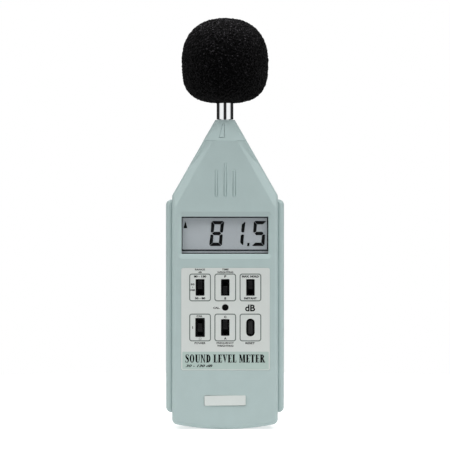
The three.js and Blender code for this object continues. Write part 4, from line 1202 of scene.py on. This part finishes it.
def bezel_cutter(width, height, rings, back):
    """The hole in a bezel: rings (added size, corner radius, depth) and then straight to the back."""
    steps = [*rings, (0, rings[-1][1], back - BEZEL_Y)]
    return loft([(width + more, height + more, corner, BEZEL_Y + depth) for more, corner, depth in steps])


def make_switch_body(width, height, travel):
    pad = KNOB_FOOT / 2 + travel / 2
    shape = eased(width, height, 0.45, BEZEL_Y, -6.0, 0.22)
    shape = add(shape, soft_block((-3.3, -7, -pad - 1.2), (3.3, BOARD_FRONT, pad + 1.2), 0.25, 3))
    rings = [(1.0, 0.5, -0.5), (0.34, 0.3, -0.02), (0.1, 0.2, 0.1), (0, 0.15, 0.25)]
    tool = bezel_cutter(KNOB[0] + 2 * PLAY, KNOB[1] + travel + 2 * PLAY, rings, -6.0)
    return cut(shape, tool, block((-2.25, -6.95, -pad - PLAY), (2.25, -4.2, pad + PLAY)))


def make_slider():
    front = 0.1 - HALF_DEPTH
    shape = eased(KNOB[0], KNOB[1], 0.25, front, -5.0, 0.2)
    shape = add(shape, soft_block((-2, -6.7, -KNOB_FOOT / 2), (2, -5.0, KNOB_FOOT / 2), 0.15, 2))
    corners = [(front - 0.3, -0.38), (front - 0.3, 0.38), (front + 0.45, 0.12), (front + 0.45, -0.12)]
    grooves = [hull([(x, y, z + dz) for x in (-3, 3) for y, dz in corners]) for z in (-1.35, -0.45, 0.45, 1.35)]
    return cut(shape, *grooves)


for name, x, z, width, height, rest, travel in SWITCHES:
    body_mesh = moved(make_switch_body(width, height, travel), x, 0, z)
    piece(f"{name}_switch_frame", body_mesh, BLACK, "casing", [f"{name}_switch_body"])
    slider_mesh = moved(make_slider(), x, 0, z + rest)
    piece(f"{name}_slider_knob", slider_mesh, KNOB_BLACK, f"{name}_slider", [f"{name}_slider"])

reset_x, reset_z, reset_width, reset_height = RESET


def make_reset_body():
    shape = eased(reset_width, reset_height, reset_width / 2 - 0.1, BEZEL_Y, -8.0, 0.25, steps=12)
    shape = add(shape, soft_block((-4, -9.4, -5.6), (4, BOARD_FRONT, 5.6), 0.3, 3))
    width, height = RESET_CAP[0] + 2 * PLAY, RESET_CAP[1] + 2 * PLAY
    tool = bezel_cutter(width, height, [(0.9, 1.0, -0.5), (0.3, 0.8, -0.02), (0, 0.7, 0.2)], -7.0)
    x, z = width / 2 + 0.8, height / 2 + 0.8
    return cut(shape, tool, block((-x, -8.25, -z), (x, -5.55, z)))


def make_reset_cap():
    cap = eased(RESET_CAP[0], RESET_CAP[1], 0.55, -12.65, -6.6, 0.3, arcs=5)
    rim = soft_block((-2.1, -8, -4.5), (2.1, -6.6, 4.5), 0.15, 2)
    dish = rounded_hull([(0, -13.9, -2.6), (0, -13.9, 2.6)], 1.45, 6)
    return cut(add(cap, rim), dish)


reset_mesh = moved(make_reset_body(), reset_x, 0, reset_z)
piece("reset_switch_frame", reset_mesh, BLACK, "casing", ["reset_switch_body"])
cap_mesh = moved(make_reset_cap(), reset_x, 0, reset_z)
piece("reset_button_cap", cap_mesh, KNOB_BLACK, "reset_button", ["reset_button"])

trimmer_place = (TRIMMER[0], 0, TRIMMER[1])
trimmer_block = soft_block((-3.3, -7.5, -3.3), (3.3, BOARD_FRONT, 3.3), 0.3, 3)
trimmer_block = cut(trimmer_block, rod(1.9, -10, -4.6, (0, 0, 0)))
piece("trimmer_frame", moved(trimmer_block, *trimmer_place), BLACK, "casing", ["trimmer_body"])
rotor = lathe([(0, -8.8), (1.35, -8.8), (1.55, -8.7), (1.6, -8.5), (1.6, -4.9), (0, -4.9)], 48, "Y")
rotor = cut(rotor, block((-2.5, -9.5, -0.3), (2.5, -8.1, 0.3)), block((-0.3, -9.5, -0.9), (0.3, -8.1, 0.9)))
rotor = moved(rotor, *trimmer_place)
piece("trimmer_rotor_disc", rotor, TRIMMER_DARK, "trimmer_rotor", ["trimmer_rotor"])

# ---------------------------------------------------------------- screws and tripod insert


def cross_tools(size, low, high):
    long, short = size / 2, size / 8
    return [block((-x, low, -z), (x, high, z)) for x, z in ((long, short), (short, long))]


def make_screw(radius, head_radius, head_height, length):
    """A cross-head screw with its head's underside at y = 0 and its shaft towards -Y."""
    profile = [(0, -length), (radius * 0.5, -length), (radius, -length + radius)]
    pitch = radius * 0.8
    for i in range(int((length - radius - 1) / pitch)):
        y = -length + radius + i * pitch
        profile += [(radius * 0.78, y + pitch * 0.2), (radius, y + pitch * 0.5), (radius * 0.78, y + pitch * 0.8)]
    profile += [(radius * 0.85, -0.2), (radius * 0.85, 0), (head_radius, 0)]
    for angle in (math.pi / 2 * i / 6 for i in range(7)):
        across, up = 0.72 + 0.28 * math.cos(angle) ** 0.5, 0.35 + 0.65 * math.sin(angle)
        profile.append((head_radius * across, head_height * up))
    profile.append((0, head_height))
    return cut(lathe(profile, 40, "Y"), *cross_tools(head_radius * 1.25, head_height * 0.4, head_height + 1))


def place_screws(kind, places, size, y, first_turn, turn):
    """Screws of one size, each turned a little further than the one before."""
    for index, (x, z) in enumerate(places, 1):
        name = f"{kind}_screw_{index}"
        mesh = moved(make_screw(*size), turn=Matrix.Rotation(math.radians(first_turn + turn * index), 4, "Y"))
        piece(name + "_turned", moved(mesh, x, y, z), STEEL, "casing", [name])


place_screws("casing", CASING_SCREWS, (1.25, 2.7, 1.8, 16.3), 9.3, 17, 31)
place_screws("board", BOARD_SCREWS, (0.8, 1.7, 1.2, 6.9), -1.1, 0, 40)

thread = [(4.6, 4.7), (4.6, 11.9), (4.3, 12.3), (3.6, 12.3)]
for step in range(8):
    y = 11.6 - step * 0.85
    thread += [(3.2, y), (3.55, y - 0.42)]
thread += [(3.2, 4.9), (3.4, 4.7)]
piece("tripod_insert_threaded", lathe(thread, 64, "Y", (0, 0, TRIPOD_Z)), BRASS, "casing", ["tripod_insert"])

# ---------------------------------------------------------------- microphone

barrel_profile = [
    (2.0, 163.5), (3.2, 163.5), (3.4, 163.7), (3.4, 170.0), (5.4, 170.0), (5.6, 170.2), (5.6, 171.8), (5.4, 172.0),
    (3.4, 172.0), (3.4, 179.3), (4.7, 179.3), (4.85, 179.45), (4.85, 202.4), (4.72, 202.5), (4.72, 202.9),
    (4.85, 203.0), (4.85, 208.85), (4.7, 209.0), (4.2, 209.0), (4.2, 203.0), (2.0, 203.0),
]
piece("microphone_barrel_tube", lathe(barrel_profile, 96), CHROME, "casing", ["microphone_barrel"])


def make_grille():
    disc = lathe([(0, 209.3), (4.7, 209.3), (4.85, 209.45), (4.85, 210.9), (4.6, 211.4), (4.1, 211.6), (0, 211.6)], 96)
    tools = []
    for y in (-2.7, -0.9, 0.9, 2.7):
        half = math.sqrt(3.85**2 - y**2)
        inner = half - 0.45
        tools.append(rounded_hull([(-inner, y, 210.4), (inner, y, 210.4), (-inner, y, 213), (inner, y, 213)], 0.45, 4))
        tools.append(hull([(sx * (half - 0.5), y + sy * 0.28, z) for sx, sy in SIDES_AND_FACES for z in (208, 213)]))
    return cut(disc, *tools)


piece("microphone_grille_cap", make_grille(), CHROME, "casing", ["microphone_grille"])
capsule = lathe([(0, 203.3), (3.7, 203.3), (3.9, 203.5), (3.9, 208.1), (3.6, 208.4), (3.0, 208.5), (0, 208.5)], 64)
piece("microphone_capsule_can", capsule, STEEL, "casing", ["microphone_capsule"])

# ---------------------------------------------------------------- windscreen


def make_windscreen(around, rows):
    """Foam ball with an open bore underneath and a surface of fine open cells."""
    radius, centre, bore = BALL["radius"], BALL["centre"], BALL["bore"]
    low = centre - BALL["down"]
    profile = [(0.0, centre), (bore, centre)]
    profile += [(bore, centre + (low - centre) * i / 8) for i in range(1, 9)]
    for i in range(rows + 1):
        angle = math.pi * i / rows  # from the underside's rim to the top
        up = -math.cos(angle)
        share, power = (BALL["up"], BALL["exponents"][0]) if up > 0 else (BALL["down"], BALL["exponents"][1])
        x, z = math.sin(angle), abs(up)
        size = (x**power + z**power) ** (1 / power)
        if up < 0 and radius * x / size < bore + 0.3:
            continue
        profile.append((radius * x / size, centre + math.copysign(share * z / size, up)))
    mesh = lathe(profile, around)
    for vertex in mesh.vertices:
        place = vertex.co.copy()
        from_axis = math.hypot(place.x, place.y)
        if from_axis < bore + 0.3 and place.z < centre + 1:
            continue
        outward = Vector((place.x, place.y, place.z - centre)).normalized()
        coarse = noise.noise(place * 0.16) * 0.12
        medium = noise.noise(place * 0.55 + Vector((31, 7, 3))) * 0.12
        cell = noise.cell(place * 1.15) - 0.5
        fine = noise.noise(place * 1.5 + Vector((5, 11, 23))) * 0.45
        vertex.co = place + outward * (coarse + medium + fine + cell * 0.28 - 0.1)
    return mesh


foam_ball = make_windscreen(around=288, rows=200)
windscreen = piece("windscreen_foam", foam_ball, FOAM, "windscreen", ["windscreen"], angle=180, weighted=False)

# ---------------------------------------------------------------- battery and its leads


def make_battery():
    """The battery's can, with a groove near its terminals, and its two terminals."""
    x0, x1 = BATTERY["left"], BATTERY["right"]
    depth, height = BATTERY["back"] - BATTERY["front"], BATTERY["top"] - BATTERY["bottom"]
    centre_y, centre_z = (BATTERY["front"] + BATTERY["back"]) / 2, (BATTERY["bottom"] + BATTERY["top"]) / 2
    can = eased(depth, height, 2.6, -x1, -x0, 0.5, back_edge=0.5)
    groove = 1.4 - x1
    ring = cut(
        loft([(depth + 2, height + 2, 3, groove), (depth + 2, height + 2, 3, groove + 0.35)]),
        loft([(depth - 0.3, height - 0.3, 2.5, groove - 1), (depth - 0.3, height - 0.3, 2.5, groove + 1)]),
    )
    can = moved(cut(can, ring), 0, centre_y, centre_z, Matrix.Rotation(math.pi / 2, 4, "Z"))
    stud = [
        (0, -0.5), (2.9, -0.5), (2.9, 0.2), (2.5, 0.4), (2.45, 1.5), (2.75, 2.0), (2.6, 2.5), (2.2, 2.6), (0, 2.6),
    ]
    socket = [
        (0, -0.5), (3.6, -0.5), (3.6, 0.2), (3.3, 0.4), (3.5, 2.3), (3.3, 2.6), (2.8, 2.6), (2.7, 0.6), (0, 0.6),
    ]
    posts = []
    for profile, sides, z in ((stud, 40, centre_z - TERMINAL_OFFSET), (socket, 6, centre_z + TERMINAL_OFFSET)):
        posts.append(lathe([(radius, x1 + x) for radius, x in profile], sides, "X", (0, centre_y, z)))
    return can, joined(*posts)


battery_can, battery_posts = make_battery()
piece("battery_can", battery_can, JACKET, "casing", ["battery"])
piece("battery_terminals", battery_posts, STEEL, "casing")
snap = eased(11.5, 24.0, 3.0, -24.8, -22.8, 0.4, back_edge=0.3)
snap = moved(snap, 0, 0.15, 19.75, Matrix.Rotation(math.pi / 2, 4, "Z"))
piece("battery_snap_cap", snap, BLACK, "casing", ["battery_snap"])


def lead_route(y):
    return [
        (25.1, y, 22), (26, y, 22.1), (26.7, y, 23.4), (26.9, y, 30), (26.9, y, 37), (26.8, y - 0.3, 44),
        (25.6, y - 0.8, 49), (22 - 2 * y, 0.4, 52), (20 - 2 * y, -0.4, 52.6),
    ]


mic_route = [(0, 0, 202.4), (0, 0, 190), (0, 0, 175), (0, 0, 162), (0, 0.6, 156), (2, 0.4, 150), (4, 0.2, 146)]
LEADS = (
    ("battery_lead_red", lead_route(0.2), 0.6, RED_LEAD, "red_insulation", "battery_lead_positive"),
    ("battery_lead_black", lead_route(2.6), 0.6, BLACK_LEAD, "black_insulation", "battery_lead_negative"),
    ("microphone_lead_tube", mic_route, 0.9, GREY_LEAD, "grey_insulation", "microphone_lead"),
)
for name, route, radius, material, slot, node in LEADS:
    piece(name, tube(route, radius), material, "casing", [node], 60)

# ---------------------------------------------------------------- CAD nodes that stay

KEPT = (
    (BLACK, ["display_holder"]),
    (RUBBER, ["contact_strip_upper", "contact_strip_lower"]),
    (BOARD, ["circuit_board"]),
    (CHIP, ["converter_chip", "amplifier_chip_1", "amplifier_chip_2", "amplifier_chip_3"]),
    (SLEEVE, ["capacitor_1", "capacitor_2", "capacitor_3"]),
)
for material, nodes in KEPT:
    for node in nodes:
        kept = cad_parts[node]
        kept.data.materials.clear()
        kept.data.materials.append(material)

# ---------------------------------------------------------------- floor, light and camera


FLOOR_SEEN = 0.6
FLOOR_GLOW = 0.36  # the floor is a light table, which keeps shadows pale
floor_mesh = rod(0.45, -0.02, 0.0, (0, 0, 0), 128, "Z")
n = material_nodes("floor_white")
seen = n.new("ShaderNodeLightPath").outputs["Is Camera Ray"]
floor_look = {
    "Base Color": n.blend(n.noise(40.0), (0.64, 0.64, 0.64, 1), (0.66, 0.66, 0.66, 1)),
    "Roughness": 0.9,
    "Specular IOR Level": 0.0,
    "Emission Color": (1, 1, 1, 1),
    "Emission Strength": n.spread(seen, 0.0, 1.0, FLOOR_GLOW, FLOOR_SEEN),
}
floor_mesh.materials.append(n.principled(floor_look))
floor = bpy.data.objects.new("floor", floor_mesh)
floor.location.z = cad_low.z
bpy.context.scene.collection.objects.link(floor)

WORLD_SOFT = 0.29  # how bright the room is for soft light
WORLD_MIRROR = 1.3  # how bright it is in reflections
sky = Nodes(bpy.data.worlds.new("studio"), "World", "Generated")
bpy.context.scene.world = sky.owner
axes = sky.new("ShaderNodeSeparateXYZ", {"Vector": sky.place}).outputs
rays = sky.new("ShaderNodeLightPath").outputs


def ramp(value, low, high, to_low, to_high):
    return sky.spread(value, low, high, to_low, to_high, interpolation_type="SMOOTHSTEP")


def background(strength):
    return sky.new("ShaderNodeBackground", {"Color": (1, 1, 1, 1), "Strength": strength}).outputs[0]


sideways = ramp(sky.math("ABSOLUTE", axes["X"]), 0.24, 0.46, 0.02, 1.0)
strip = sky.math("MAXIMUM", sideways, ramp(axes["Y"], -0.6, -0.3, 0.0, 1.0))
mirror = sky.math("MULTIPLY", ramp(axes["Y"], -0.4, 0.05, 1.0, 0.02), strip)
soft = sky.math("MULTIPLY", ramp(axes["Y"], -0.9, 0.9, 1.0, 0.55), ramp(axes["Z"], -0.3, 0.4, 0.7, 1.0))
soft_light = background(sky.math("MULTIPLY", soft, WORLD_SOFT))
reflection = background(sky.math("MULTIPLY", mirror, WORLD_MIRROR))
unseen = sky.mix_shader(rays["Is Glossy Ray"], soft_light, reflection)
sky.finish(sky.mix_shader(rays["Is Camera Ray"], unseen, background(1.0)))


def face_towards(holder, target):
    holder.rotation_euler = (Vector(target) - holder.location).to_track_quat("-Z", "Y").to_euler()


# name, power in watts, side in metres, place, target
SOFTBOXES = (
    ("softbox_left", 4.8, 0.36, (-0.66, -0.38, 0.92), (0, 0, 0.13)),
    ("softbox_right", 5.6, 0.36, (0.66, -0.38, 0.92), (0, 0, 0.13)),
    ("softbox_top", 4.6, 0.6, (0, 0.0, 1.1), (0, 0, 0)),
    ("softbox_back", 4.0, 0.6, (-0.3, 1.1, 0.6), (0, 0, 0.1)),
)
for name, power, side, place, target in SOFTBOXES:
    light = bpy.data.lights.new(name, "AREA")
    light.energy = power
    light.shape = "RECTANGLE"
    light.size = light.size_y = side
    holder = bpy.data.objects.new(name, light)
    holder.location = place
    face_towards(holder, target)
    bpy.context.scene.collection.objects.link(holder)

bpy.context.scene.view_settings.view_transform = "Standard"
bpy.context.scene.view_settings.look = "None"

CAMERA_ELEVATION = math.radians(1.0)
CAMERA_DISTANCE = 1.6
CAMERA_TARGET = Vector((0.0, 0.0, 0.1180))
lens = bpy.data.cameras.new("camera")
lens.lens = 220.0
lens.sensor_width = 36.0
lens.clip_start = 0.05
camera = bpy.data.objects.new("camera", lens)
towards_camera = Vector((0, -math.cos(CAMERA_ELEVATION), math.sin(CAMERA_ELEVATION)))
camera.location = CAMERA_TARGET + towards_camera * CAMERA_DISTANCE
camera.rotation_euler = (math.pi / 2 - CAMERA_ELEVATION, 0, 0)
bpy.context.scene.collection.objects.link(camera)
bpy.context.scene.camera = camera
